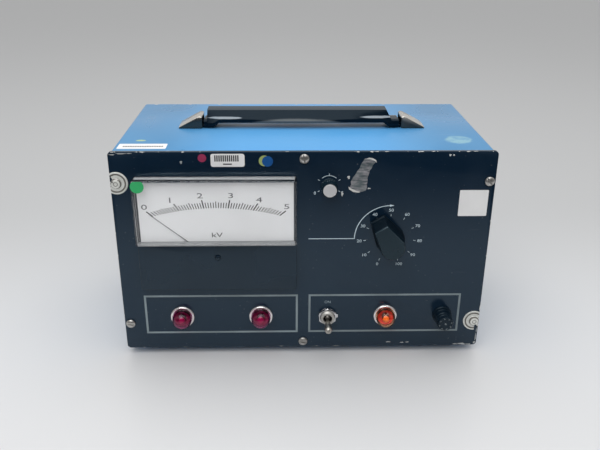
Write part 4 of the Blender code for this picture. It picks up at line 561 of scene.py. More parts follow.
plumLens = clearMaterial("plumLens", lensLook["plum"], lensLook["roughness"], lensLook["ior"], lensLook["gloss"])
amberLens = clearMaterial("amberLens", lensLook["amber"], lensLook["roughness"], lensLook["ior"], lensLook["gloss"])


# Small tools for meshes
def deselectAll():
    if bpy.context.object and bpy.context.object.mode != "OBJECT":
        bpy.ops.object.mode_set(mode="OBJECT")
    bpy.ops.object.select_all(action="DESELECT")


def onlySelect(piece):
    deselectAll()
    piece.select_set(True)
    bpy.context.view_layer.objects.active = piece


def startEdit(piece, kind="VERT"):
    onlySelect(piece)
    bpy.ops.object.mode_set(mode="EDIT")
    bpy.ops.mesh.select_mode(type=kind)


# Picks the vertices, edges or faces that pass a test of their middle (and normal, for faces).
def pick(piece, kind, test):
    bpy.ops.mesh.select_mode(type=kind)
    bpy.ops.mesh.select_all(action="DESELECT")
    shape = bmesh.from_edit_mesh(piece.data)
    if kind == "VERT":
        for vertex in shape.verts:
            vertex.select_set(test(vertex.co))
    elif kind == "EDGE":
        for edge in shape.edges:
            if test(edge.verts[0].co, edge.verts[1].co):
                edge.select_set(True)
    else:
        for face in shape.faces:
            if test(face.calc_center_median(), face.normal):
                face.select_set(True)
    shape.select_flush_mode()
    bmesh.update_edit_mesh(piece.data)


def tidyMesh():
    bpy.ops.mesh.select_mode(type="VERT")
    bpy.ops.mesh.select_all(action="SELECT")
    bpy.ops.mesh.remove_doubles(threshold=0.000001)
    bpy.ops.mesh.normals_make_consistent(inside=False)
    bpy.ops.object.mode_set(mode="OBJECT")


def blankVertex(name):
    deselectAll()
    bpy.ops.mesh.primitive_plane_add(size=mm, location=(0, 0, 0))
    piece = bpy.context.object
    piece.name = name
    bpy.ops.object.mode_set(mode="EDIT")
    bpy.ops.mesh.select_mode(type="VERT")
    bpy.ops.mesh.merge(type="CENTER")
    return piece


# Draws a line of vertices, each extruded from the one before.
def drawLine(points):
    bpy.ops.transform.translate(value=points[0])
    for here, there in zip(points, points[1:]):
        bpy.ops.mesh.extrude_region_move(TRANSFORM_OT_translate={"value": there - here})


# Turned pieces: a profile of (radius, height) in millimetres, spun about the line outward through at.
def turnPiece(name, at, outward, profile, steps=48):
    side = Vector((1, 0, 0)) if abs(outward.z) > 0.5 else Vector((0, 0, 1))
    piece = blankVertex(name)
    drawLine([at + side * radius * mm + outward * height * mm for radius, height in profile])
    bpy.ops.mesh.select_all(action="SELECT")
    bpy.ops.mesh.spin(steps=steps, angle=2 * math.pi, center=at, axis=outward)
    tidyMesh()
    return piece


# A flat outline in millimetres, filled and pushed out into a solid. at is its origin.
def cutPiece(name, at, across, along, outline, thickness):
    outward = across.cross(along)
    piece = blankVertex(name)
    points = [at + (across * a + along * b) * mm for a, b in outline]
    drawLine(points + points[:1])
    bpy.ops.mesh.select_all(action="SELECT")
    bpy.ops.mesh.remove_doubles(threshold=0.000001)
    bpy.ops.mesh.edge_face_add()
    bpy.ops.mesh.extrude_region_move(TRANSFORM_OT_translate={"value": outward * thickness * mm})
    return piece


across, along = Vector((1, 0, 0)), Vector((0, 0, 1))


def arcPoints(radius, start, end, steps, middle=(0.0, 0.0)):
    turns = [math.radians(start + (end - start) * i / steps) for i in range(steps + 1)]
    return [(middle[0] + radius * math.cos(a), middle[1] + radius * math.sin(a)) for a in turns]


def roundedOutline(width, height, radius, steps=4, middle=(0.0, 0.0)):
    points = []
    for quarter, (a, b) in enumerate(((1, 1), (-1, 1), (-1, -1), (1, -1))):
        corner = (middle[0] + a * (width / 2 - radius), middle[1] + b * (height / 2 - radius))
        points += arcPoints(radius, 90 * quarter, 90 * quarter + 90, steps, corner)
    return points


def addBox(name, low, high):
    deselectAll()
    bpy.ops.mesh.primitive_cube_add(size=1, location=(low + high) / 2, scale=high - low)
    piece = bpy.context.object
    piece.name = name
    bpy.ops.object.transform_apply(location=True, rotation=True, scale=True)
    return piece


# Closed rings of points, one beyond the other, joined into a solid that is capped at both ends.
def loftRings(name, rings):
    made = []
    for points in rings:
        made.append(blankVertex(name))
        drawLine(points + points[:1])
        bpy.ops.mesh.select_all(action="SELECT")
        bpy.ops.mesh.remove_doubles(threshold=0.0000001)
        bpy.ops.object.mode_set(mode="OBJECT")
    onlySelect(made[0])
    for ring in made:
        ring.select_set(True)
    bpy.ops.object.join()
    piece = bpy.context.object
    piece.name = name
    startEdit(piece, "EDGE")
    bpy.ops.mesh.select_all(action="SELECT")
    bpy.ops.mesh.bridge_edge_loops()
    bpy.ops.mesh.select_all(action="DESELECT")
    bpy.ops.mesh.select_non_manifold(extend=False)
    bpy.ops.mesh.edge_face_add()
    tidyMesh()
    return piece


def applyAll(piece):
    onlySelect(piece)
    for modifier in list(piece.modifiers):
        bpy.ops.object.modifier_apply(modifier=modifier.name)


def softenEdges(piece, width, segments=2, angle=35):
    bevel = piece.modifiers.new("softEdges", "BEVEL")
    bevel.width = width * mm
    bevel.segments = segments
    bevel.limit_method = "ANGLE"
    bevel.angle_limit = math.radians(angle)
    bevel.use_clamp_overlap = True
    applyAll(piece)


def cutAway(piece, tools):
    onlySelect(tools[0])
    for tool in tools:
        tool.select_set(True)
    if len(tools) > 1:
        bpy.ops.object.join()
    cutter = bpy.context.object
    boolean = piece.modifiers.new("cutAway", "BOOLEAN")
    boolean.object = cutter
    boolean.operation = "DIFFERENCE"
    boolean.solver = "EXACT"
    applyAll(piece)
    bpy.data.objects.remove(cutter, do_unlink=True)


def drill(at, outward, radius, depth, sides=40):
    deselectAll()
    turn = outward.to_track_quat("Z", "Y").to_euler()
    bpy.ops.mesh.primitive_cylinder_add(vertices=sides, radius=radius * mm, depth=depth * mm, location=at, rotation=turn)
    return bpy.context.object


def settle(piece, material, body="case", replaces=(), angle=32):
    onlySelect(piece)
    bpy.ops.object.transform_apply(location=True, rotation=True, scale=True)
    bpy.ops.object.shade_smooth_by_angle(angle=math.radians(angle))
    piece.data.name = piece.name
    piece.data.materials.clear()
    piece.data.materials.append(material)
    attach(piece, body)
    if replaces:
        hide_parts(*replaces)
    return piece


def duplicate(piece, name):
    copied = piece.copy()
    copied.data = piece.data.copy()
    copied.name = name
    bpy.context.scene.collection.objects.link(copied)
    for key in list(copied.keys()):
        if key.startswith("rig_"):
            del copied[key]
    copied.parent = None
    return copied


# A merged copy of a CAD node, with its flat faces joined up again and its edges softened.
def smoothCopy(node, material, body, soften=0.0, angle=32):
    copied = duplicate(nodes[node], node + "_made")
    startEdit(copied)
    bpy.ops.mesh.select_all(action="SELECT")
    bpy.ops.mesh.remove_doubles(threshold=0.000001)
    bpy.ops.mesh.dissolve_limited(angle_limit=math.radians(1.0))
    bpy.ops.object.mode_set(mode="OBJECT")
    if soften:
        softenEdges(copied, soften)
    return settle(copied, material, body, [node], angle)


def printWord(name, word, height, x, z, out, material, body="case", stretch=1.0, turn=0.0):
    deselectAll()
    bpy.ops.object.text_add(location=(0, 0, 0))
    piece = bpy.context.object
    piece.name = name
    piece.data.body = word
    piece.data.align_x = "CENTER"
    piece.data.align_y = "CENTER"
    piece.data.resolution_u = 3
    piece.data.extrude = 0.01
    bpy.ops.object.convert(target="MESH")
    piece = bpy.context.object
    low = Vector(piece.bound_box[0])
    high = Vector(piece.bound_box[6])
    middle = (low + high) / 2
    scale = height * mm / (high.y - low.y)
    piece.data.transform(Matrix.Translation(-middle))
    piece.scale = (scale * stretch, scale, scale)
    piece.rotation_euler = (math.pi / 2, math.radians(-turn), 0)
    piece.location = onPanel(x, z, out)
    return settle(piece, material, body)


# A printed line of constant width through (x, z) points on the panel.
def printLine(name, points, width, out, material, closed=False, thickness=0.04, body="case"):
    offsets = []
    count = len(points)
    for i, (x, z) in enumerate(points):
        before = points[i - 1] if i or closed else points[i]
        after = points[(i + 1) % count] if i < count - 1 or closed else points[i]
        toward = Vector((after[0] - points[i][0], after[1] - points[i][1]))
        away = Vector((points[i][0] - before[0], points[i][1] - before[1]))
        if toward.length == 0:
            toward = away.copy()
        if away.length == 0:
            away = toward.copy()
        toward.normalize()
        away.normalize()
        normal = Vector((-(toward + away).y, (toward + away).x)).normalized()
        reach = width / 2 / max(0.3, normal.dot(Vector((-toward.y, toward.x))))
        offsets.append(normal * reach)
    piece = blankVertex(name)
    left = [onPanel(x + o.x, z + o.y, out) for (x, z), o in zip(points, offsets)]
    if closed:
        left.append(left[0])
    drawLine(left)
    bpy.ops.object.mode_set(mode="OBJECT")
    right = [onPanel(x - o.x, z - o.y, out) for (x, z), o in zip(points, offsets)]
    if closed:
        right.append(right[0])
    other = blankVertex(name + "_side")
    drawLine(right)
    bpy.ops.object.mode_set(mode="OBJECT")
    onlySelect(piece)
    other.select_set(True)
    bpy.ops.object.join()
    startEdit(piece, "EDGE")
    bpy.ops.mesh.select_all(action="SELECT")
    if closed:
        bpy.ops.mesh.remove_doubles(threshold=0.000001)
    bpy.ops.mesh.bridge_edge_loops()
    bpy.ops.mesh.select_all(action="SELECT")
    bpy.ops.mesh.extrude_region_move(TRANSFORM_OT_translate={"value": front * thickness * mm})
    tidyMesh()
    return settle(piece, material, body)


print("camera and light")
makeCamera()
bpy.context.scene.view_settings.view_transform = "Standard"
softLight("keyLight", lightLook["keyPlace"], lightLook["keySize"], lightLook["keyPower"])
softLight("fillLight", lightLook["fillPlace"], lightLook["fillSize"], lightLook["fillPower"])


# The room is pale overhead and behind the bench, and dark low down on the camera's side.
def makeWorld():
    world = bpy.data.worlds.new("studio")
    world.use_nodes = True
    tree = world.node_tree
    parts = addNode(tree, "SeparateXYZ")
    wire(tree, tree.nodes.new("ShaderNodeTexCoord").outputs["Generated"], parts.inputs[0])
    lift = maths(tree, "ADD", parts.outputs["Z"], maths(tree, "MULTIPLY", parts.outputs["Y"], lightLook["frontDim"]))
    dark, bright = (lightLook["dark"],) * 3, (lightLook["bright"],) * 3
    colour = mixColour(tree, mapRange(tree, lift, -0.45, 0.45), dark, bright)
    wire(tree, colour, tree.nodes["Background"].inputs["Color"])
    bpy.context.scene.world = world


makeWorld()


# The floor is pale near the bench and darker far behind it: painted shade where less light falls.
def makeFloor():
    deselectAll()
    bpy.ops.mesh.primitive_circle_add(vertices=96, radius=9.0, fill_type="NGON", location=(0, 0, 0))
    floor = bpy.context.object
    floor.name = "floor"
    material, tree, shader, place = newMaterial("floorSheet", lightLook["floorPale"], 0.35)
    parts = addNode(tree, "SeparateXYZ")
    wire(tree, place, parts.inputs[0])
    farShade = mapRange(tree, parts.outputs["Y"], *lightLook["floorTurn"])
    wire(tree, mixColour(tree, farShade, lightLook["floorPale"], lightLook["floorShadedFar"]), shader.inputs["Base Color"])
    floor.data.materials.append(material)


# A dark sheet that only mirrors can see, where the real room is dark beyond the bench.
def makeDarkCard():
    deselectAll()
    bpy.ops.mesh.primitive_plane_add(size=1, location=(0, -1.2, 0.002), scale=(1, 1, 1))
    card = bpy.context.object
    card.name = "darkCard"
    card.scale = (4.0, 2.2, 1.0)
    bpy.ops.object.transform_apply(location=True, rotation=True, scale=True)
    material, tree, shader, place = newMaterial("cardBlack", (0.0, 0.0, 0.0), 1.0)
    shader.inputs["Specular IOR Level"].default_value = 0.0
    parts = addNode(tree, "SeparateXYZ")
    wire(tree, place, parts.inputs[0])
    wire(tree, mapRange(tree, parts.outputs["Y"], lightLook["cardStart"], lightLook["cardEnd"]), shader.inputs["Alpha"])
    card.data.materials.append(material)
    for kind in ("camera", "diffuse", "transmission", "shadow", "volume_scatter"):
        setattr(card, "visible_" + kind, False)


makeFloor()
makeDarkCard()


# Cabinet
caseSizes = {"bend": 3.0, "bendSteps": 6, "flange": 12.7, "wall": 1.3}


# A box whose four long edges, from front to rear, are rounded.
def roundedBox(name, low, high, radius, steps):
    piece = addBox(name, low, high)
    startEdit(piece, "EDGE")
    pick(piece, "EDGE", lambda a, b: abs(a.y - b.y) > 0.0002)
    bpy.ops.mesh.bevel(offset=radius * mm, segments=steps, affect="EDGES")
    bpy.ops.object.mode_set(mode="OBJECT")
    return piece


def makeCase():
    c = caseSizes
    wall, flange = Vector((c["wall"],) * 3) * mm, Vector((c["flange"], -c["wall"], c["flange"])) * mm
    piece = roundedBox("case_wrap", caseLow, caseHigh, c["bend"], c["bendSteps"])
    cutAway(piece, [roundedBox("inside", caseLow + wall, caseHigh - wall, c["bend"] - c["wall"], c["bendSteps"])])
    cutAway(piece, [roundedBox("mouths", caseLow + flange, caseHigh - flange, 2.0, 4)])
    holes = [drill(middleOf(name), front, 2.4, 30) for name in nodes if "_screw_" in name]
    holes += [drill(middleOf(name), up, 2.35, 30) for name in nodes if name.startswith("foot_")]
    cutAway(piece, holes)
    softenEdges(piece, 0.2, 2, 50)
    settle(piece, bluePaint, "case", ["case_body"])


panelSizes = {"corner": 3.2, "cornerSteps": 8, "edge": 0.35}


def makeFrontPanel():
    piece = roundedBox("front_plate", panelLow, panelHigh, panelSizes["corner"], panelSizes["cornerSteps"])
    softenEdges(piece, panelSizes["edge"], 3, 50)
    through = 12
    holes = [drill(axisOnPanel(name), front, 2.4, through) for name in nodes if name.startswith("panel_screw_")]
    holes += [drill(axisOnPanel(lamp + "_lens"), front, 8.35, through) for lamp in ("arc_lamp", "leak_lamp", "supply_lamp")]
    holes.append(drill(axisOnPanel("toggle_nut"), front, 6.3, through))
    holes.append(drill(axisOnPanel("fuse_holder_body"), front, 6.6, through))
    holes.append(drill(axisOnPanel("pot_nut"), front, 5.1, through))
    holes.append(drill(axisOnPanel("variac_nut"), front, 7.35, through))
    movement = axisOnPanel("meter_movement")
    holes.append(drill(movement + up * 16 * mm, front, 35.35, through, 72))
    cutAway(piece, holes)
    settle(piece, navyPaint, "case", ["front_panel"])


def makeRearPanel():
    piece = roundedBox("rear_plate", rearLow, rearHigh, 3.0, 6)
    softenEdges(piece, 0.3, 2, 50)
    holes = [drill(middleOf(name), rear, 2.4, 30) for name in nodes if name.startswith("rear_screw_")]
    holes += [drill(middleOf(name), rear, 8.05, 30) for name in ("supply_cord_bushing", "test_lead_bushing")]
    cutAway(piece, holes)
    settle(piece, bluePaint, "case", ["rear_panel"])


print("cabinet")
makeCase()
makeFrontPanel()
makeRearPanel()


# Screws, one pattern for all ten
screwSizes = {"head": 3.9, "height": 2.4, "shank": 2.05, "length": 9.5, "slotWidth": 1.1, "slotDepth": 1.1, "seat": 0.3}


def makeScrewPattern():
    s = screwSizes
    low, head = s["seat"], s["head"]
    dome = [(head * math.sin(math.radians(a)), low + 0.72 + (s["height"] - 0.72) * math.cos(math.radians(a))) for a in range(0, 91, 10)]
    profile = dome + [(head, low), (s["shank"], low)]
    turns = 9
    for i in range(turns):  # the thread, as rings
        bottom = low - 0.6 - (s["length"] - 1.0) * i / turns
        profile += [(s["shank"], bottom + 0.25), (s["shank"] - 0.3, bottom)]
    profile += [(0.6, low - s["length"]), (0.0, low - s["length"])]
    piece = turnPiece("screwPattern", Vector((0, 0, 0)), front, profile, 36)
    slot = addBox("slot", Vector((-0.006, -0.006, -s["slotWidth"] * mm / 2)), Vector((0.006, -(low + s["height"] - s["slotDepth"]) * mm, s["slotWidth"] * mm / 2)))
    cutAway(piece, [slot])
    softenEdges(piece, 0.12, 2, 50)
    return piece


screwTurns = {
    "panel_screw_top": 80,
    "panel_screw_bottom": 8,
    "panel_screw_left_upper": 30,
    "panel_screw_left_lower": 12,
    "panel_screw_right_upper": 55,
    "panel_screw_right_lower": 100,
    "rear_screw_left_lower": 20,
    "rear_screw_left_upper": 75,
    "rear_screw_right_lower": 130,
    "rear_screw_right_upper": 160,
}


def makeScrews():
    pattern = makeScrewPattern()
    for name, turn in screwTurns.items():
        piece = duplicate(pattern, name + "_made")
        middle = middleOf(name)
        if name.startswith("panel"):
            piece.rotation_euler = (0, math.radians(turn), 0)
            piece.location = (middle.x, panelLow.y, middle.z)
        else:
            piece.rotation_euler = (0, math.radians(turn), math.pi)
            piece.location = (middle.x, rearHigh.y, middle.z)
        settle(piece, zincSteel, "case", [name])
    bpy.data.objects.remove(pattern, do_unlink=True)


def makeFeet():
    low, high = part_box("foot_front_left")
    base = caseLow.z
    drop = (base - low.z) / mm
    profile = [
        (0.0, 5.0), (1.3, 4.4), (2.7, 1.7), (2.0, 1.6), (2.0, -0.3), (7.3, -0.3), (7.85, -0.5), (8.0, -0.9),
        (6.95, -drop + 0.9), (6.7, -drop + 0.25), (6.3, -drop), (3.2, -drop), (3.0, -drop + 0.3), (2.6, -drop + 1.2), (0.0, -drop + 1.2),
    ]
    pattern = turnPiece("footPattern", Vector((0, 0, 0)), up, profile, 40)
    for end in ("front", "rear"):
        for side in ("left", "right"):
            name = f"foot_{end}_{side}"
            middle = middleOf(name)
            piece = duplicate(pattern, name + "_made")
            piece.location = (middle.x, middle.y, base)
            settle(piece, rubberBlack, "case", [name])
    bpy.data.objects.remove(pattern, do_unlink=True)


print("screws and feet")
makeScrews()
makeFeet()


# Handle
gripSizes = {
    "strapWidth": 14.0, "strapThick": 2.4, "seat": 0.3, "under": 4.6, "top": 16.0, "width": 21.0, "topWidth": 13.5,
    "swell": 2.4, "swellHalf": 44.0, "left": -81.5, "right": 81.0, "lean": 8.0, "shoulder": 7.2, "block": 5.0, "strapEnd": 94.0,
    "ribDepth": 0.5,
    "paint": (0.0018, 0.0075, 0.0150),
    "gloss": 0.15,
    # Painted reflection: colours and places of a grey lens low on the sides, two light streaks near the ends and a grey
    # sheen on top.
    "swellSheen": (0.145, 0.153, 0.153),
    "swellSheenMiddle": (-0.004, 0.0042),
    "swellSheenHalf": (0.044, 0.5, 0.0050),
    "streakMiddle": (0.066, 0.0093),
    "streakHalf": (0.0165, 0.5, 0.0011),
    "topSheen": (0.078, 0.090, 0.102),
}


# Glossy on the sides and rougher on top and in a patch low on the middle of the sides. Its colour carries
# painted reflection: a grey sheen along the top, a grey lens low on the middle of the sides and two light streaks near
# the ends.
def makeGripSkin():
    g = gripSizes
    material, tree, shader, place = newMaterial("gripBlack", g["paint"], 0.12, Specular_Tint=navyGlint, Specular_IOR_Level=g["gloss"])
    skin = useGroup(tree, skinGrain, place, Grain_Scale=500.0, Smear_Scale=40.0, Low_Roughness=0.10, High_Roughness=0.2)
    base = caseHigh.z

    def rubbed(middle, half, raggedness, scale=90.0):
        at = patchPlace(tree, place, (middle[0], 0.0, base + middle[1]))
        group = useGroup(tree, ruggedPatch, at, Half_Size=half, Scale=scale, Raggedness=raggedness, Density=1.0)
        return group["Mask"]

    x, z = g["streakMiddle"]
    endStreaks = maths(tree, "MAXIMUM", rubbed((-x, z), g["streakHalf"], 0.12), rubbed((x, z + 0.0006), g["streakHalf"], 0.12))
    swellSheenAndMatt = rubbed(g["swellSheenMiddle"], g["swellSheenHalf"], 0.05)
    parts = addNode(tree, "SeparateXYZ")
    wire(tree, place, parts.inputs[0])
    top = mapRange(tree, parts.outputs["Z"], base + (g["top"] - 0.9) * mm, base + (g["top"] - 0.25) * mm)
    # Painted reflection: a grey sheen along the top, a grey lens low on the sides and two light streaks near the ends.
    colour = mixColour(tree, maths(tree, "MULTIPLY", top, 0.8), g["paint"], g["topSheen"])
    colour = mixColour(tree, maths(tree, "MULTIPLY", swellSheenAndMatt, 0.85), colour, g["swellSheen"])
    colour = mixColour(tree, maths(tree, "MULTIPLY", endStreaks, 0.9), colour, (0.42, 0.45, 0.47))
    wire(tree, colour, shader.inputs["Base Color"])
    wire(tree, maths(tree, "MAXIMUM", skin["Roughness"], maths(tree, "MULTIPLY", maths(tree, "MAXIMUM", top, swellSheenAndMatt), 0.42)), shader.inputs["Roughness"])
    addBump(tree, shader, skin["Height"], 0.4, 0.00001)
    return material


gripBlack = makeGripSkin()


# The section across the grip: half of it from the bottom's middle to the top's middle, then mirrored.
# The ledge is how far the foot of its sides stands out beyond them.
def gripSection(low, high, wide, top, rib, ledge):
    rise = high - low
    nip = min(1.8, rise / 3)
    foot = wide / 2 + ledge
    half = [(0.0, low), (foot - nip, low), (foot - 0.3 * nip, low + 0.25 * nip), (foot, low + 0.9 * nip)]
    half += [(foot, low + min(2.2, 0.40 * rise))]
    lower = Vector((wide / 2 + 0.15 * ledge, low + min(3.4, 0.5 * rise)))
    upper = Vector((top / 2 + 0.25, high - nip))
    half += [tuple(lower.lerp(upper, share)) for share in (0.0, 0.06, 0.14, 0.5, 0.9)]
    half += [tuple(upper), (top / 2 - 0.2 * nip, high - 0.3 * nip), (top / 2 - 0.8 * nip, high)]
    half += [(0.42 * top / 2 + rib, high), (0.42 * top / 2, high - rib), (0.26 * top / 2, high - rib)]
    half += [(0.26 * top / 2 - rib, high), (0.0, high)]
    return half + [(-y, z) for y, z in reversed(half[1:-1])]


def makeGrip():
    g = gripSizes
    middle = middleOf("handle_cap_left").y
    base = caseHigh.z
    strap = (g["seat"], g["seat"] + g["strapThick"], g["strapWidth"], g["strapWidth"] - 0.6, 0.05, 0.0)
    block = (g["seat"] + 0.7, g["top"], g["width"], g["topWidth"], g["ribDepth"], 0.0)
    body = (g["under"], g["top"], g["width"], g["topWidth"], g["ribDepth"], 0.0)
    left, right = g["left"], g["right"]
    shoulder = (g["seat"] + 0.4, g["shoulder"], g["width"] - 2.0, g["width"] - 3.0, 0.05, 0.0)
    stations = [(-g["strapEnd"], 0, strap), (left - 3.4, 0, strap), (left - 3.1, 0, shoulder), (left - 0.5, 0, shoulder)]
    stations += [(left, 0, block), (left + g["block"], 0, block), (left + 2 * g["block"], 0, body)]
    for i in range(13):
        x = g["swellHalf"] * (i / 6 - 1) + (left + right - g["lean"]) / 2
        swell = g["swell"] / 2 * math.sin(math.pi * i / 12)
        stations.append((x, 0, (g["under"], g["top"], g["width"], g["topWidth"], g["ribDepth"], swell)))
    near = right - g["block"]
    lean = g["lean"]
    stations += [(near - g["block"], -lean / 2, body), (near, -lean / 2, block), (right, -lean, block)]
    stations += [(right + 0.4, -0.5 * lean, shoulder), (right + 3.1, 0, shoulder), (right + 3.4, 0, strap), (g["strapEnd"], 0, strap)]
    rings = []
    for x, leaning, shape in stations:
        low, high = shape[0], shape[1]
        section = [(y, z, (z - low) / (high - low)) for y, z in gripSection(*shape)]
        rings.append([Vector(((x + leaning * share) * mm, middle + y * mm, base + z * mm)) for y, z, share in section])
    piece = loftRings("handle_grip_made", rings)
    settle(piece, gripBlack, "handle", ["handle_grip"], 28)


# Painted reflection: bright on the slope, dark on the upright sides, as plating that mirrors a dim room.
def makeCapPlate():
    bright, dark = (0.66, 0.635, 0.59), (0.115, 0.10, 0.085)
    material, tree, shader, place = newMaterial("capPlate", bright, 0.24, Metallic=1.0)
    skin = useGroup(tree, skinGrain, place, Grain_Scale=600.0, Smear_Scale=40.0, Low_Roughness=0.20, High_Roughness=0.42)
    facing, parts = addNode(tree, "NewGeometry"), addNode(tree, "SeparateXYZ")
    wire(tree, facing.outputs["Normal"], parts.inputs[0])
    upward = mapRange(tree, parts.outputs["Z"], 0.05, 0.3)
    wire(tree, mixColour(tree, upward, dark, bright), shader.inputs["Base Color"])
    wire(tree, skin["Roughness"], shader.inputs["Roughness"])
    return material


def makeHandleCaps():
    capPlate = makeCapPlate()
    for side in ("left", "right"):
        smoothCopy("handle_cap_" + side, capPlate, "case", 0.35)


print("handle")
makeGrip()
makeHandleCaps()


# Meter
meterLow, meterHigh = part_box("meter_case")
windowLow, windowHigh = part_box("meter_cover")
lowerLow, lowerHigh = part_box("meter_lower_cover")
meterX = middleOf("meter_case").x / mm
pivotZ = (middleOf("meter_movement").z - panelLow.z) / mm
dialFace = (panelLow.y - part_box("meter_dial")[0].y) / mm
meterSizes = {
    "windowWall": 1.4, "corner": 1.6, "windowEdge": 0.7, "needlePassage": 4.2, "lipLow": 102.75, "lipHigh": 103.9, "lipBack": 4.6, "lipFront": 10.4,
    "liner": 0.5, "linerBack": 2.0, "linerFront": 7.5, "linerSide": 3.0, "lowerWall": 1.5, "lowerEdge": 0.6,
}


# A box open at the back, with rounded corners and front edges and a constant wall.
def makeHood(name, low, high, wall, corner, edge):
    piece = addBox(name, low, high)
    startEdit(piece, "EDGE")
    pick(piece, "EDGE", lambda a, b: abs(a.y - b.y) > 0.001)
    bpy.ops.mesh.bevel(offset=corner * mm, segments=6, affect="EDGES")
    pick(piece, "EDGE", lambda a, b: abs(a.y - low.y) < 0.00001 and abs(b.y - low.y) < 0.00001)
    bpy.ops.mesh.bevel(offset=edge * mm, segments=4, affect="EDGES")
    pick(piece, "FACE", lambda middle, normal: normal.y > 0.9)
    bpy.ops.mesh.delete(type="FACE")
    bpy.ops.object.mode_set(mode="OBJECT")
    shell = piece.modifiers.new("shell", "SOLIDIFY")
    shell.thickness = wall * mm
    shell.offset = -1
    shell.use_even_offset = True
    applyAll(piece)
    return piece


def makeMeterWindow():
    m = meterSizes
    piece = makeHood("meter_window", windowLow, windowHigh, m["windowWall"], m["corner"], m["windowEdge"])
    inset = m["windowWall"] * mm
    low = Vector((windowLow.x + inset, panelLow.y - m["needlePassage"] * mm, windowLow.z - 0.003))
    high = Vector((windowHigh.x - inset, windowHigh.y + 0.002, windowLow.z + 0.004))
    cutAway(piece, [addBox("passage", low, high)])
    settle(piece, windowClear, "case", ["meter_cover"])


# A grey lip along the window's lower edge, in front of the needle, as painted light where the lower wall looks lit,
# and liners behind the window's walls: a pale strip along the top as painted light and dark strips down the sides as
# painted shade.
def makeWindowTrim():
    m = meterSizes
    left, right = windowLow.x / mm + m["windowWall"] + 0.1, windowHigh.x / mm - m["windowWall"] - 0.1
    lip = addBox("window_lip", onPanel(left, m["lipLow"], m["lipFront"]), onPanel(right, m["lipHigh"], m["lipBack"]))
    softenEdges(lip, 0.15)
    settle(lip, paintedLipLight, "case")
    wall, thick, back, reach = m["windowWall"], m["liner"], m["linerBack"], m["linerFront"]
    top, low = (windowHigh.z - panelLow.z) / mm - wall - 0.1, m["lipHigh"] + 0.4
    strips = [addBox("liner", onPanel(left, top - thick, reach), onPanel(right, top, back))]
    strips.append(addBox("liner", onPanel(left, low, m["linerSide"]), onPanel(left + thick, top - thick, back)))
    strips.append(addBox("liner", onPanel(right - thick, low, m["linerSide"]), onPanel(right, top - thick, back)))
    # A pale strip on top as painted light, dark strips down the sides as painted shade.
    for strip, skin in zip(strips, (paintedWallLight, lipShade, lipShade)):
        settle(strip, skin, "case")
    joinPieces(strips, "window_liner", "case")
    dialTop = (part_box("meter_dial")[1].z - panelLow.z) / mm
    backing = addBox("dial_backing", onPanel(left, dialTop - 1.0, dialFace - 0.05), onPanel(right, top - thick, dialFace - 0.35))
    softenEdges(backing, 0.1)
    settle(backing, dialCard, "case")


def makeMeterLower():
    m = meterSizes
    piece = makeHood("meter_lower_made", lowerLow, lowerHigh, m["lowerWall"], m["corner"], m["lowerEdge"])
    wall = m["lowerWall"] * mm
    above = addBox("above", Vector((lowerLow.x + wall, lowerLow.y + wall, lowerHigh.z - 2 * wall)), Vector((lowerHigh.x - wall, lowerHigh.y + 0.002, lowerHigh.z + 0.002)))
    hole = drill(middleOf("zero_adjust_screw"), front, 2.68, 6)
    cutAway(piece, [above, hole])
    settle(piece, meterBlack, "case", ["meter_lower_cover"])


dialSizes = {
    "tickStep": 2.208, "ticks": 50, "innerTop": 131.75, "innerRadius": 190.0, "outerTop": 138.85, "outerRadius": 160.0,
    "minor": 4.7, "minorWidth": 0.66, "majorWidth": 0.95, "numeral": 4.2, "numeralStretch": 1.75,
    "numeralPlaces": ((-56.6, 132.9), (-36.0, 138.6), (-12.3, 142.2), (11.9, 142.2), (34.1, 138.6), (55.9, 132.7)),
}


def makeDialPrint():
    d = dialSizes
    out = dialFace + 0.02

    def arcHeight(x, top, radius):
        return top - radius + math.sqrt(radius * radius - x * x)

    strips = []
    half = d["ticks"] * d["tickStep"] / 2
    for i in range(d["ticks"] + 1):
        outerX = d["tickStep"] * i - half
        outerZ = arcHeight(outerX, d["outerTop"], d["outerRadius"])
        toward = Vector((outerX, outerZ - pivotZ)).normalized()
        reach = 0.0
        point = Vector((outerX, outerZ))
        while point.y > arcHeight(point.x, d["innerTop"], d["innerRadius"]) and reach < 12:
            reach += 0.05
            point = Vector((outerX, outerZ)) - toward * reach
        major = i % 10 == 0
        end = Vector((outerX, outerZ)) if major else point + toward * (d["minor"] + (0.9 if i % 5 == 0 else 0.0))
        width = d["majorWidth"] if major else d["minorWidth"]
        strips.append(printLine(f"dial_tick_{i:02d}", [(meterX + point.x, point.y), (meterX + end.x, end.y)], width, out, dialInk))
    joinPieces(strips, "dial_ticks", "case")
    words = []
    for number, (x, z) in enumerate(d["numeralPlaces"]):
        words.append(printWord(f"dial_number_{number}", str(number), d["numeral"], meterX + x, z, out, numberInk, stretch=d["numeralStretch"]))
    words.append(printWord("dial_unit", "kV", 3.9, meterX, 108.6, out, dialInk, stretch=1.5))
    joinPieces(words, "dial_numbers", "case")


def joinPieces(pieces, name, body):
    for piece in pieces:
        piece.parent = None
    onlySelect(pieces[0])
    for piece in pieces:
        piece.select_set(True)
    bpy.ops.object.join()
    joined = bpy.context.object
    joined.name = name
    joined.data.name = name
    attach(joined, body)
    return joined


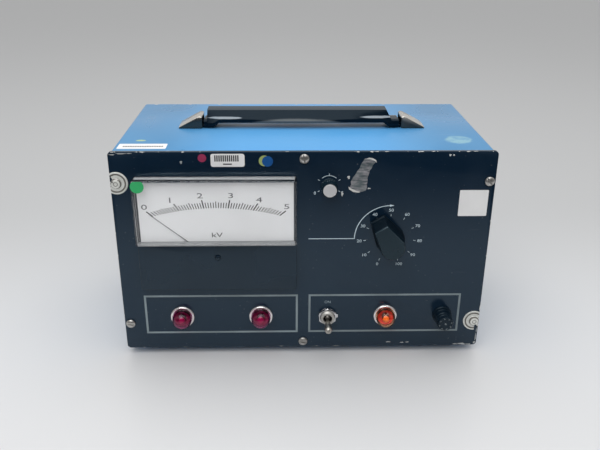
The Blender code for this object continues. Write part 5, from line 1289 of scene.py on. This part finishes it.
def makeNeedle():
    low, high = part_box("meter_needle")
    at = onPanel(meterX, pivotZ, 2.9)
    turn = math.radians(51)
    outline = [(-0.8, -9.0), (0.8, -9.0), (0.8, -5.5), (0.45, -4.5), (0.75, 0.0), (0.4, 30.0), (0.22, 40.0), (0.17, 67.3), (0.0, 67.6), (-0.17, 67.3), (-0.22, 40.0), (-0.4, 30.0), (-0.75, 0.0), (-0.45, -4.5), (-0.8, -5.5)]
    piece = cutPiece("needleBlade", Vector((0, 0, 0)), across, along, outline, 0.35)
    tidyMesh()
    hub = turnPiece("needleHub", Vector((0, 0, 0)), front, [(0.0, 0.7), (1.2, 0.7), (2.4, 0.5), (2.6, 0.2), (2.6, -0.4), (0.7, -0.4), (0.7, -5.7), (0.0, -5.7)], 32)
    for part in (piece, hub):
        part.rotation_euler = (0, -turn, 0)
        part.location = at
        settle(part, pointerInk, "needle")
    joined = joinPieces([piece, hub], "meter_pointer", "needle")
    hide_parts("meter_needle")


def makeZeroScrew():
    middle = middleOf("zero_adjust_screw")
    low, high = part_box("zero_adjust_screw")
    front0 = (panelLow.y - low.y) / mm
    back0 = (panelLow.y - high.y) / mm
    at = Vector((middle.x, panelLow.y, middle.z))
    piece = turnPiece("zero_screw_made", at, front, [(0.0, front0), (1.9, front0), (2.25, front0 - 0.12), (2.4, front0 - 0.35), (2.4, back0), (0.0, back0)], 36)
    slot = addBox("slot", at + Vector((-0.003, -front0 * mm - 0.001, -0.00035)), at + Vector((0.003, -front0 * mm + 0.0007, 0.00035)))
    cutAway(piece, [slot])
    settle(piece, meterBlack, "zero_screw", ["zero_adjust_screw"])


print("meter")
makeMeterWindow()
makeWindowTrim()
makeMeterLower()
smoothCopy("meter_case", meterBlack, "case")
smoothCopy("meter_dial", dialCard, "case")
makeDialPrint()
makeNeedle()
makeZeroScrew()


# Pilot lamps
lampSizes = {
    "bezel": 10.25, "bezelFront": 9.5, "proud": 2.2, "tube": 8.0, "bore": 7.3, "tubeEnd": -10.0,
    "lens": 8.2, "seat": 0.9, "rim": 3.6, "top": 12.8, "wall": 1.2, "fullness": 0.8, "ribs": 24,
}


def domeProfile(radius, rim, rise, start, end, steps):
    turns = [math.radians(start + (end - start) * i / steps) for i in range(steps + 1)]
    full = lampSizes["fullness"]
    return [(radius * abs(math.sin(a)) ** full, rim + rise * abs(math.cos(a)) ** full) for a in turns]


def makeLamp(lamp, lensMaterial, floorMaterial, bulbMaterial):
    s = lampSizes
    at = axisOnPanel(lamp + "_lens")
    recess = s["lens"] + 0.3
    top = s["proud"]
    profile = [(recess, s["seat"]), (recess, top - 0.12), (recess + 0.1, top), (recess + 0.55, top + 0.02)]
    profile += [(s["bezelFront"] - 0.1, top - 0.12), (s["bezelFront"] + 0.4, top - 0.55), (s["bezel"] - 0.1, 0.95)]
    profile += [(s["bezel"], 0.6), (s["bezel"] - 0.08, 0.3), (s["tube"], 0.3), (s["tube"], s["tubeEnd"])]
    profile += [(s["bore"], s["tubeEnd"]), (s["bore"], s["seat"]), (recess, s["seat"])]
    bezel = turnPiece(lamp + "_bezel_made", at, front, profile, 64)
    settle(bezel, brightBezel, "case", [lamp + "_bezel"], 40)
    inner = s["lens"] - s["wall"]
    profile = domeProfile(s["lens"], s["rim"], s["top"] - s["rim"], 0, 90, 14)
    profile[0] = (0.0, s["top"])
    profile += [(s["lens"], s["seat"] + 0.3), (inner, s["seat"] + 0.3)]
    profile += domeProfile(inner, s["rim"], s["top"] - s["rim"] - s["wall"], 90, 0, 10)
    profile[-1] = (0.0, s["top"] - s["wall"])
    lens = turnPiece(lamp + "_lens_made", at, front, profile, 72)
    settle(lens, lensMaterial, "case", [lamp + "_lens"], 40)
    makeLampInside(lamp, at, floorMaterial, bulbMaterial)


bulbSizes = {"glass": 2.8, "top": 9.8, "mouth": 6.7, "rise": 5.4, "wire": 0.24, "gap": 0.6}


# Inside the tube: a conical reflector, the neon bulb's glass and its two upright electrodes.
def makeLampInside(lamp, at, floorMaterial, bulbMaterial):
    b = bulbSizes
    cone = [(0.0, 0.5), (1.2, 0.6), (4.6, 2.2), (b["mouth"], b["rise"]), (b["mouth"], b["rise"] - 0.5)]
    cone += [(4.9, 1.7), (3.4, 0.2), (0.0, 0.2)]
    settle(turnPiece(lamp + "_reflector", at, front, cone, 40), floorMaterial, "case")
    turns = [math.radians(15 * i) for i in range(13)]
    profile = [(b["glass"] * math.sin(a), b["top"] - b["glass"] + b["glass"] * math.cos(a)) for a in turns]
    profile[0], profile[-1] = (0.0, b["top"]), (0.0, b["top"] - 2 * b["glass"])
    settle(turnPiece(lamp + "_bulb", at, front, profile, 32), bulbMaterial, "case")
    wires = []
    for side in (-1, 1):
        start = at + Vector((side * b["gap"] * mm, 0, 0))
        wires.append(turnPiece("electrode", start, front, [(0.0, 5.2), (b["wire"], 5.1), (b["wire"], 0.7), (0.0, 0.7)], 12))
    for wireRod in wires:
        settle(wireRod, bulbMaterial)
    joinPieces(wires, lamp + "_electrodes", "case")


print("lamps")
makeLamp("arc_lamp", plumLens, lampGrey, bulbPink)
makeLamp("leak_lamp", plumLens, lampGrey, bulbPink)
# The amber lamp's bulb and electrodes are painted a pale bright yellow: a painted glow, for the lamp is not lit.
makeLamp("supply_lamp", amberLens, lampRose, paintedGlowYellow)


# Nuts: a six-sided primitive with its corners chamfered, then bored
def makeNut(node, name, flats, low, thick, bore, crown, material):
    at = axisOnPanel(node)
    deselectAll()
    bpy.ops.mesh.primitive_cylinder_add(
        vertices=6, radius=flats / math.sqrt(3) * mm, depth=thick * mm, rotation=(math.pi / 2, 0, 0),
        location=at + front * (low + thick / 2) * mm,
    )
    piece = bpy.context.object
    piece.name = name
    bpy.ops.object.transform_apply(location=True, rotation=True, scale=True)
    top = low + thick
    slope = [(crown, top + 0.01), (crown + 3, top - 1.55), (crown + 3, top + 2), (crown, top + 2), (crown, top + 0.01)]
    cutAway(piece, [turnPiece("crown", at, front, slope, 72)])
    cutAway(piece, [drill(at, front, bore, 40, 48)])
    softenEdges(piece, 0.18, 2, 40)
    settle(piece, material, "case", [node])


# Power toggle
toggleSizes = {
    "washer": 7.4, "tab": 1.6, "tabWidth": 3.4, "length": 19.3, "bat": 3.2, "ball": 3.3, "neck": 1.5, "tail": 7.4, "tip": 15.0,
}


def makeToggle():
    t = toggleSizes
    at = axisOnPanel("toggle_nut")
    half = math.degrees(math.asin(t["tabWidth"] / 2 / t["washer"]))
    reach = t["washer"] + t["tab"]
    outline = arcPoints(t["washer"], half, 360 - half, 44)
    outline += [(reach - 0.5, -t["tabWidth"] / 2), (reach, -t["tabWidth"] / 2 + 0.5), (reach, t["tabWidth"] / 2 - 0.5), (reach - 0.5, t["tabWidth"] / 2)]
    washer = cutPiece("toggle_washer_made", at + front * 0.3 * mm, across, along, outline, 0.6)
    tidyMesh()
    cutAway(washer, [drill(at, front, 6.3, 20, 48)])
    softenEdges(washer, 0.12, 2, 40)
    settle(washer, chromePlate, "case", ["toggle_lock_washer"])
    makeNut("toggle_nut", "toggle_nut_made", 14.3, 1.2, 2.4, 6.3, 6.95, chromePlate)
    low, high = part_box("toggle_body")
    frontEnd = (panelLow.y - low.y) / mm
    profile = [(3.7, -7.3), (3.7, frontEnd - 0.4), (4.1, frontEnd), (5.4, frontEnd)]
    pitch = 0.8
    height = frontEnd - 0.2
    while height > -3.4:
        profile += [(5.95, height - 0.3), (5.6, height - 0.3 - pitch / 2)]
        height -= pitch
    profile += [(5.95, -3.5), (5.95, -3.8), (3.7, -7.3)]
    bushing = turnPiece("toggle_bushing_made", at, front, profile, 56)
    settle(bushing, satinNickel, "case")
    throat = [(3.72, frontEnd - 0.9), (3.45, frontEnd - 0.9), (3.45, -7.2), (3.72, -7.2), (3.72, frontEnd - 0.9)]
    sleeve = turnPiece("toggle_throat", at, front, throat, 48)
    settle(sleeve, mouldedBlack, "case")
    body = smoothCopy("toggle_body", zincSteel, "case", 0.3)
    cutAway(body, [drill(at + front * 5.0 * mm, front, 6.2, 16.4, 40)])
    settle(body, zincSteel, "case", ["toggle_body"])
    lever = [(t["bat"] * r, t["length"] - t["bat"] * h) for r, h in ((0.0, 0.16), (0.12, 0.14), (0.2, 0.01), (0.3, 0.03), (0.5, 0.12), (0.72, 0.3), (0.88, 0.55), (0.97, 0.85), (1.0, 1.2), (0.985, 1.6), (0.92, 2.1))]
    lever += [(0.7 * t["bat"], 8.5), (0.56 * t["bat"], 6.2), (t["neck"], 4.2), (t["neck"], 3.0)]
    lever += [(t["ball"] * math.cos(math.radians(a)), t["ball"] * math.sin(math.radians(a))) for a in range(60, -61, -15)]
    lever += [(t["neck"], -3.0), (t["neck"], -t["tail"] + 0.3), (t["neck"] - 0.3, -t["tail"]), (0.0, -t["tail"])]
    piece = turnPiece("toggle_lever_made", Vector((0, 0, 0)), front, lever, 48)
    piece.rotation_euler = (math.radians(t["tip"]), 0, 0)
    piece.location = at + front * 1.5 * mm
    settle(piece, nickelPlate, "toggle", ["toggle_lever"], 40)


# Leakage knob
def makeLeakKnob():
    at = axisOnPanel("pot_nut")
    makeNut("pot_nut", "pot_nut_made", 11.1, 0.3, 2.0, 5.1, 5.4, chromePlate)
    profile = [(0.0, 10.9), (5.6, 10.9), (5.6, 11.9), (5.7, 12.0), (6.05, 12.0), (6.25, 11.8), (6.85, 3.2), (6.9, 2.9), (6.9, 2.6), (5.1, 2.6), (5.1, 4.7), (3.52, 4.7), (3.52, 10.3), (0.0, 10.3)]
    knob = turnPiece("leak_knob_made", at, front, profile, 72)
    startEdit(knob)
    pick(knob, "VERT", lambda p: (Vector((p.x, 0, p.z)) - Vector((at.x, 0, at.z))).length > 6.0 * mm and 3.0 < (at.y - p.y) / mm < 11.9 and int(round(math.degrees(math.atan2(p.z - at.z, p.x - at.x)) / 5.0)) % 3 == 0)
    bpy.ops.transform.resize(value=(0.94, 1.0, 0.94), center_override=at)
    tidyMesh()
    settle(knob, knobBlack, "leak_rotor", ["leak_knob"], 30)
    face = [(0.0, 12.3)]
    for i in range(1, 9):
        radius = 0.58 * i
        face.append((radius, 12.3 if i % 2 else 12.24))
    face += [(4.95, 12.3), (5.2, 12.2), (5.3, 12.0), (5.3, 11.2), (0.0, 11.2)]
    disc = turnPiece("leak_knob_disc_made", at, front, face, 64)
    settle(disc, spunSilver, "leak_rotor", ["leak_knob_disc"], 30)
    shaft = turnPiece("pot_shaft_made", at, front, [(0.0, 10.0), (2.8, 10.0), (3.17, 9.6), (3.17, -10.0), (0.0, -10.0)], 40)
    settle(shaft, zincSteel, "leak_rotor", ["pot_shaft"])


# Variac knob
knobSizes = {"hub": 11.2, "hubDraft": 1.2, "reach": 21.0, "nose": 12.4, "shrink": 0.24, "shade": 13.0, "low": 0.9, "skirt": 4.0, "lip": 0.9, "draft": 1.2, "chamfer": 0.7, "top": 21.5, "turn": 31.6}


def pointerOutline(grow):
    k = knobSizes
    hub = k["hub"] + k["hubDraft"] * min(grow, 0) + max(grow, 0)
    reach, half = k["reach"] + grow, k["nose"] / 2 + k["shrink"] * grow
    tangent = math.degrees(math.atan2(half, reach) + math.acos(hub / math.hypot(half, reach)))
    corner = 0.8
    nose = arcPoints(corner, 0, 90, 4, (half - corner, reach - corner))
    nose += arcPoints(corner, 90, 180, 4, (corner - half, reach - corner))
    return nose + arcPoints(hub, 90 + tangent, 450 - tangent, 30)


def makeVariacKnob():
    k = knobSizes
    at = axisOnPanel("variac_nut")
    makeNut("variac_nut", "variac_nut_made", 19.0, 0.3, 2.6, 7.35, 9.2, zincSteel)
    levels = [(k["low"], k["lip"] - 0.25), (k["low"] + 0.25, k["lip"]), (k["skirt"] - 0.3, k["lip"]), (k["skirt"], k["lip"] - 0.3)]
    levels += [(k["skirt"] + 0.5, 0.25), (k["skirt"] + k["lip"], 0.0)]
    levels += [(k["top"] - k["chamfer"] - 0.5, 0.12 - k["draft"]), (k["top"] - k["chamfer"], -0.15 - k["draft"])]
    levels += [(k["top"] - 0.2, -k["draft"] - k["chamfer"] + 0.25), (k["top"], -k["draft"] - k["chamfer"])]
    rings = [[across * a * mm + along * b * mm + front * out * mm for a, b in pointerOutline(grow)] for out, grow in levels]
    piece = loftRings("variac_knob_made", rings)
    origin = Vector((0, 0, 0))
    cutAway(piece, [drill(origin + front * 1.95 * mm, front, 11.6, 3.9, 48)])
    cutAway(piece, [drill(origin + front * 9 * mm, front, 4.3, 16.6, 40)])
    piece.rotation_euler = (0, math.radians(-k["turn"]), 0)
    piece.location = at
    settle(piece, knobBlack, "variac_rotor", ["variac_knob"], 26)
    piece.data.materials.append(knobShade)
    for face in piece.data.polygons:  # its sides are duller and darker than its face: painted shade
        if (at.y - face.center.y) / mm < k["shade"]:
            face.material_index = 1


print("controls")
makeToggle()
makeLeakKnob()
makeVariacKnob()


# Fuse holder and cap
fuseSizes = {
    "flange": 8.4, "neck": 7.6, "neckTop": 4.9, "cap": 7.35, "face": 6.5, "dish": 0.5, "capLow": 5.2, "capTop": 16.5,
    "groove": 0.7, "beads": 8, "beadRing": 5.1,
}


def makeFuseHolder():
    f = fuseSizes
    at = axisOnPanel("fuse_holder_body")
    low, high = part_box("fuse_holder_body")
    end = (panelLow.y - high.y) / mm
    profile = [(0.0, end + 3.5), (4.6, end + 3.5), (4.6, f["neckTop"] - 0.2), (4.8, f["neckTop"]), (f["neck"] - 0.2, f["neckTop"]), (f["neck"], f["neckTop"] - 0.2), (f["neck"], 2.2)]
    profile += [(f["flange"] - 0.3, 2.2), (f["flange"], 1.9), (f["flange"], 0.3), (6.25, 0.3), (6.25, end), (0.0, end)]
    piece = turnPiece("fuse_holder_made", at, front, profile, 56)
    settle(piece, capBlack, "case", ["fuse_holder_body"], 40)
    top, face = f["capTop"], f["face"]
    bowl = face - 1.9
    profile = [(0.0, top - 0.15), (0.7, top - 0.2), (1.1, top - f["dish"]), (bowl, top - f["dish"]), (bowl + 0.25, top - 0.3)]
    profile += [(bowl + 0.45, top), (face - 0.9, top), (face - 0.4, top - 0.15), (face - 0.1, top - 0.5), (face, top - 1.05)]
    for share in (0.62, 0.36):
        radius = f["cap"] + share * (face - f["cap"])
        middle = f["capLow"] + share * (top - f["capLow"])
        g = f["groove"]
        profile += [(radius, middle + g), (radius - 0.6 * g, middle + 0.7 * g), (radius - g, middle + 0.3 * g)]
        profile += [(radius - g, middle - 0.3 * g), (radius - 0.6 * g, middle - 0.7 * g), (radius, middle - g)]
    profile += [(f["cap"], f["capLow"] + 0.2), (f["cap"] - 0.2, f["capLow"]), (4.3, f["capLow"]), (4.3, 3.2), (3.47, 3.2), (3.47, 4.9), (0.0, 4.9)]
    cap = turnPiece("fuse_cap_made", at, front, profile, 72)
    startEdit(cap)

    def onFlute(point):
        away = Vector((point.x - at.x, point.z - at.z))
        turn = int(round(math.degrees(math.atan2(away.y, away.x)) / 5.0))
        return away.length > (face - 0.6) * mm and (at.y - point.y) / mm > top - 3.2 and turn % 3 == 0

    pick(cap, "VERT", onFlute)
    bpy.ops.transform.resize(value=(0.92, 1.0, 0.92), center_override=at)
    tidyMesh()
    beads = []
    beadShape = [(0.0, top + 0.25), (0.4, top + 0.15), (0.65, top - 0.1), (0.7, top - 0.4), (0.0, top - 0.4)]
    for i in range(f["beads"]):
        a = 2 * math.pi * (i + 0.3) / f["beads"]
        middle = at + (across * math.cos(a) + along * math.sin(a)) * f["beadRing"] * mm
        beads.append(settle(turnPiece("bead", middle, front, beadShape, 10), capGlint, "fuse_cap_body"))
    boss = turnPiece("boss", at, front, [(0.0, top - 0.02), (0.8, top - 0.15), (1.1, top - 0.6), (0.0, top - 0.6)], 16)
    beads.append(settle(boss, capGlint, "fuse_cap_body"))
    settle(cap, capBlack, "fuse_cap_body", ["fuse_cap"], 30)
    joinPieces(beads, "fuse_cap_beads", "fuse_cap_body")


def makeBushings():
    for node in ("supply_cord_bushing", "test_lead_bushing"):
        middle = middleOf(node)
        at = Vector((middle.x, rearHigh.y, middle.z))
        profile = [(4.2, 7.4), (4.8, 8.0), (7.2, 8.0), (8.0, 7.3), (8.0, 3.2), (8.4, 2.9), (10.4, 2.6), (11.0, 2.0), (11.0, 0.3), (7.7, 0.3), (7.7, -1.6), (8.35, -1.6), (7.7, -3.2), (7.7, -8.0), (4.2, -8.0), (4.2, 7.4)]
        piece = turnPiece(node + "_made", at, rear, profile, 48)
        settle(piece, mouldedBlack, "case", [node], 40)


print("fuse holder and bushings")
makeFuseHolder()
makeBushings()


# Prints and stickers on the panel
printSizes = {"ink": 0.04, "gap": 0.02, "frameLine": 1.7, "frameLow": 15.4, "frameHigh": 50.8}


def printFrames():
    f = printSizes
    for name, low, high in (("frame_left", -133.6, -5.4), ("frame_right", 5.4, 133.6)):
        corners = [(low, f["frameLow"]), (high, f["frameLow"]), (high, f["frameHigh"]), (low, f["frameHigh"])]
        printLine(name, corners, f["frameLine"], f["gap"], greyInk, closed=True)


voltageDial = {"zeroTurn": 248.4, "step": 31.7, "tickRadius": 20.6, "tickLength": 1.9, "numberRadius": 25.0, "numberHeight": 2.5, "arcRadius": 29.0}


def printVoltageDial():
    v = voltageDial
    at = axisOnPanel("variac_nut")
    x0, z0 = at.x / mm, (at.z - panelLow.z) / mm
    strips, words = [], []
    for i in range(11):
        turn = math.radians(v["zeroTurn"] - v["step"] * i)
        a, b = math.cos(turn), math.sin(turn)
        inner, outer = v["tickRadius"] - v["tickLength"] / 2, v["tickRadius"] + v["tickLength"] / 2
        strips.append(printLine(f"volt_tick_{i}", [(x0 + inner * a, z0 + inner * b), (x0 + outer * a, z0 + outer * b)], 0.4, 0.02, whiteInk))
        words.append(printWord(f"volt_number_{i}", str(10 * i), v["numberHeight"], x0 + v["numberRadius"] * a, z0 + v["numberRadius"] * b, 0.02, whiteInk, stretch=1.15))
    strips.append(printLine("volt_arc", arcPoints(v["arcRadius"], 180, 92, 30, (x0, z0)), 0.62, 0.02, whiteInk))
    strips.append(printLine("volt_leader", [(4.0, z0), (x0 - v["arcRadius"] + 0.37, z0)], 0.55, 0.02, whiteInk))
    head = cutPiece("volt_arrow", onPanel(x0, z0 + v["arcRadius"], 0.02), across, along, [(-1.3, -0.95), (2.3, 0.0), (-1.3, 0.95)], 0.04)
    tidyMesh()
    strips.append(settle(head, whiteInk))
    joinPieces(strips, "voltage_marks", "case")
    joinPieces(words, "voltage_numbers", "case")


def printLeakDial():
    at = axisOnPanel("pot_nut")
    x0, z0 = at.x / mm, (at.z - panelLow.z) / mm
    pieces = [printLine("leak_arc", arcPoints(8.4, 48, 132, 14, (x0, z0)), 0.45, 0.02, whiteInk)]
    for turn in (210, 150, 90, 30, -30):
        a, b = math.cos(math.radians(turn)), math.sin(math.radians(turn))
        pieces.append(printLine(f"leak_tick_{turn}", [(x0 + 8.6 * a, z0 + 8.6 * b), (x0 + 10.2 * a, z0 + 10.2 * b)], 0.4, 0.02, whiteInk))
    pieces.append(printWord("leak_zero", "0", 2.6, 8.6, 143.4, 0.02, whiteInk))
    pieces.append(printWord("leak_five", "5", 2.6, 30.4, 143.4, 0.02, whiteInk))
    joinPieces(pieces, "leak_marks", "case")
    printWord("toggle_word", "ON", 2.4, 20.8, 44.2, 0.02, dimInk)


print("prints")
printFrames()
printVoltageDial()
printLeakDial()


# Seals pressed over two of the screws: rings of foil that follow the screw's head, cut off at the
# panel's side and torn on the way to the rim.
sealSizes = {
    "reach": 0.3,
    "rings": (
        (0.0, 2.85), (0.9, 2.95), (1.3, 2.78), (1.8, 2.80), (2.3, 2.98), (2.9, 2.9), (3.5, 2.55), (4.0, 1.9), (4.3, 1.0),
        (4.7, 0.5), (5.3, 0.42), (5.8, 0.62), (6.2, 0.62), (6.6, 0.4), (7.4, 0.34), (7.9, 0.5), (8.3, 0.72), (8.8, 0.72),
        (9.2, 0.4), (9.3, 0.05), (8.8, 0.03), (4.6, 0.3), (4.25, 0.6), (3.9, 1.8), (3.4, 2.42), (2.3, 2.7), (0.0, 2.72),
    ),
    "crinkle": 0.16,
    "shadedRings": ((1.2, 2.0), (3.2, 4.35), (5.0, 5.5), (6.6, 7.9)),
    "panel_screw_left_upper": {"middle": (-147.6, 152.2), "tear": 145, "tearHalf": 2.0},
    "panel_screw_right_lower": {"middle": (147.9, 24.9), "tear": -70, "tearHalf": 1.2},
}


def makeSeals():
    s = sealSizes
    for screw in ("panel_screw_left_upper", "panel_screw_right_lower"):
        x, z = s[screw]["middle"]
        at = onPanel(x, z)
        piece = turnPiece(screw + "_seal", at, front, s["rings"], 72)
        side = 1 if x > 0 else -1
        edge = side * (panelHigh.x - s["reach"] * mm)
        beyond = addBox("beyond", Vector((min(edge, edge + side * 0.03), at.y - 0.02, at.z - 0.03)), Vector((max(edge, edge + side * 0.03), at.y + 0.02, at.z + 0.03)))
        turn, half = math.radians(s[screw]["tear"]), s[screw]["tearHalf"]
        slope = Vector((math.cos(turn), math.sin(turn)))
        level = Vector((-slope.y, slope.x))
        tear = [tuple(slope * 1.6)] + [tuple(slope * 12 + level * half * 2.6 * sign) for sign in (-1, 1)]
        wedge = cutPiece("tear", at, across, along, tear, 6)
        tidyMesh()
        cutAway(piece, [beyond])
        cutAway(piece, [wedge])
        for vertex in piece.data.vertices:  # crinkles, deeper towards the rim
            away = vertex.co - at
            turn, radius = math.atan2(away.z, away.x), math.hypot(away.x, away.z) / mm
            if away.y < -0.0003:
                wave = math.sin(7 * turn + 1.9 * radius) + 0.7 * math.sin(17 * turn - 2.7 * radius) + 0.5 * math.sin(31 * turn)
                vertex.co.y -= s["crinkle"] * mm * wave * min(1.0, radius / 9) * 0.5
        settle(piece, sealFoil, "case", (), 50)
        piece.data.materials.append(sealShade)
        for face in piece.data.polygons:  # painted shade in the pressed rings
            radius = math.hypot(face.center.x - at.x, face.center.z - at.z) / mm
            if any(low < radius < high for low, high in s["shadedRings"]):
                face.material_index = 1


# Paper stickers: an outline on the panel, or on the case's top, and a row of plain bars on some.
stickerSizes = {"thick": 0.08, "print": 0.03}


def paperOn(name, at, side, rise, outline, material):
    piece = cutPiece(name, at, side, rise, outline, stickerSizes["thick"])
    tidyMesh()
    return settle(piece, material, "case")


def barsOn(name, at, side, rise, bars):
    pieces = [paperOn(name, at, side, rise, [(a, b), (a + w, b), (a + w, b + h), (a, b + h)], barInk) for a, b, w, h in bars]
    joinPieces(pieces, name, "case")


def ring(radius, steps=40):
    return arcPoints(radius, 0, 360, steps)[:-1]


def makeStickers():
    t = stickerSizes["thick"]
    paperOn("red_dot", onPanel(-79.5, 172.7), across, along, ring(3.3), redDotPaper)
    paperOn("lime_dot", onPanel(-31.1, 170.3), across, along, ring(4.4), limeDotPaper)
    paperOn("blue_dot", onPanel(-28.7, 169.9, t), across, along, ring(4.3), blueDotPaper)
    rim = (windowHigh.z - panelLow.z) / mm - 0.25 - 153.4  # the dot stops at the window's upper edge
    outline = [(a, min(b, rim)) for a, b in ring(5.3)]
    paperOn("green_dot", onPanel(-129.2, 153.4, (panelLow.y - windowLow.y) / mm), across, along, outline, greenDotPaper)
    middle = onPanel(-59.7, 170.8)
    paperOn("bar_sticker", middle, across, along, roundedOutline(26.4, 10.6, 1.8, 5), labelPaper)
    bars = [(-10.3 + 1.62 * i, -0.9, 1.05, 5.0) for i in range(12)] + [(-3.6, -3.6, 6.8, 1.0)]
    barsOn("bar_sticker_print", middle + front * t * mm, across, along, bars)
    paperOn("square_label", onPanel(136.3, 134.2), across, along, roundedOutline(23.2, 22.4, 0.7, 3), labelPaper)
    onTop = Vector((-0.1284, panelLow.y + 0.0178, caseHigh.z))
    paperOn("top_label", onTop, Vector((1, 0, 0)), Vector((0, 1, 0)), roundedOutline(38.6, 13.6, 1.0, 3), labelPaper)
    bars = [(-15.2 + 1.9 * i, -1.6, 1.3, 2.2) for i in range(17)]
    barsOn("top_label_print", onTop + up * t * mm, Vector((1, 0, 0)), Vector((0, 1, 0)), bars)


# Gum left by a strip of tape, its two curled ends, and small chips down to bare metal.
gumOutline = (
    (47.4, 172.0), (51.2, 172.6), (55.6, 171.4), (56.2, 169.4), (53.9, 166.7), (53.0, 164.0), (51.7, 162.5), (50.9, 159.0),
    (50.0, 155.9), (50.3, 153.2), (49.7, 150.9), (49.9, 147.9), (49.3, 145.6), (46.1, 144.3), (42.1, 144.5), (38.6, 145.8),
    (36.0, 148.1), (37.4, 150.5), (36.9, 153.0), (38.9, 156.9), (40.4, 158.9), (41.5, 161.3), (43.6, 164.2), (44.5, 167.3),
)
gumEdges = (
    ((48.4, 171.6), (50.6, 172.7), (53.6, 172.2), (56.3, 170.6), (56.6, 168.6), (55.4, 169.9), (52.6, 171.2), (50.2, 171.6)),
    ((35.2, 148.6), (37.9, 146.9), (41.4, 145.2), (45.0, 144.1), (43.0, 143.6), (39.2, 144.2), (35.8, 146.4)),
)
chipPlaces = (
    (35.1, 156.5, 1.9, 2.7, 15), (30.4, 142.5, 1.7, 3.6, 5), (51.6, 147.1, 2.4, 1.1, 0), (74.7, 3.8, 4.2, 0.9, 0),
    (86.8, 3.1, 3.2, 0.8, 0), (91.4, 3.4, 3.0, 0.7, 4), (-95.9, 169.3, 1.7, 2.4, 0), (114.2, 174.7, 1.7, 1.9, 0),
    (117.0, 174.7, 1.3, 1.5, 0), (134.2, 1.1, 5.2, 0.9, 0), (139.4, 1.2, 7.4, 1.5, -3), (145.6, 0.8, 4.2, 0.8, 0),
    (-149.0, 175.6, 4.6, 0.7, -2), (-141.6, 176.4, 7.8, 0.8, 1), (-135.3, 176.6, 3.4, 0.6, 0), (151.2, 8.0, 0.9, 7.0, 0),
    (151.4, 15.0, 0.7, 4.0, 0), (150.6, 2.6, 1.6, 2.4, -30),
)


def makeWear():
    at = onPanel(0, 0)
    paperOn("tape_gum", at, across, along, gumOutline, tapeGum)
    edges = [paperOn("tape_end", onPanel(0, 0, 0.08), across, along, outline, tapeEdge) for outline in gumEdges]
    joinPieces(edges, "tape_ends", "case")
    chips = []
    for number, (x, z, width, height, turn) in enumerate(chipPlaces):
        outline = []
        for i in range(14):
            a = 2 * math.pi * i / 14
            ragged = 0.5 * (1 + 0.22 * math.sin(3 * a + number) + 0.13 * math.sin(5 * a + 2 * number))
            outline.append((width * ragged * math.cos(a), height * ragged * math.sin(a)))
        tilted = Matrix.Rotation(math.radians(turn), 2)
        outline = [tuple(tilted @ Vector(point)) for point in outline]
        chips.append(paperOn("chip", onPanel(x, z), across, along, outline, bareChip))
    joinPieces(chips, "paint_chips", "case")


print("seals, stickers and wear")
makeSeals()
makeStickers()
makeWear()


# Carried-over nodes get finishes of their own
keptFinishes = {
    "meter_movement": zincSteel,
    "arc_lamp_socket": mouldedBlack,
    "leak_lamp_socket": mouldedBlack,
    "supply_lamp_socket": mouldedBlack,
    "pot_body": zincSteel,
    "variac_base": zincSteel,
    "variac_core": copperWire,
    "variac_shaft": zincSteel,
    "variac_brush_arm": zincSteel,
    "fuse_holder_nut": mouldedBlack,
    "fuse": fuseGlass,
    "transformer_core": coreIron,
    "transformer_coil": copperWire,
    "circuit_board": boardGreen,
}
for node, material in keptFinishes.items():
    for holder in nodes[node].material_slots:
        holder.material = material
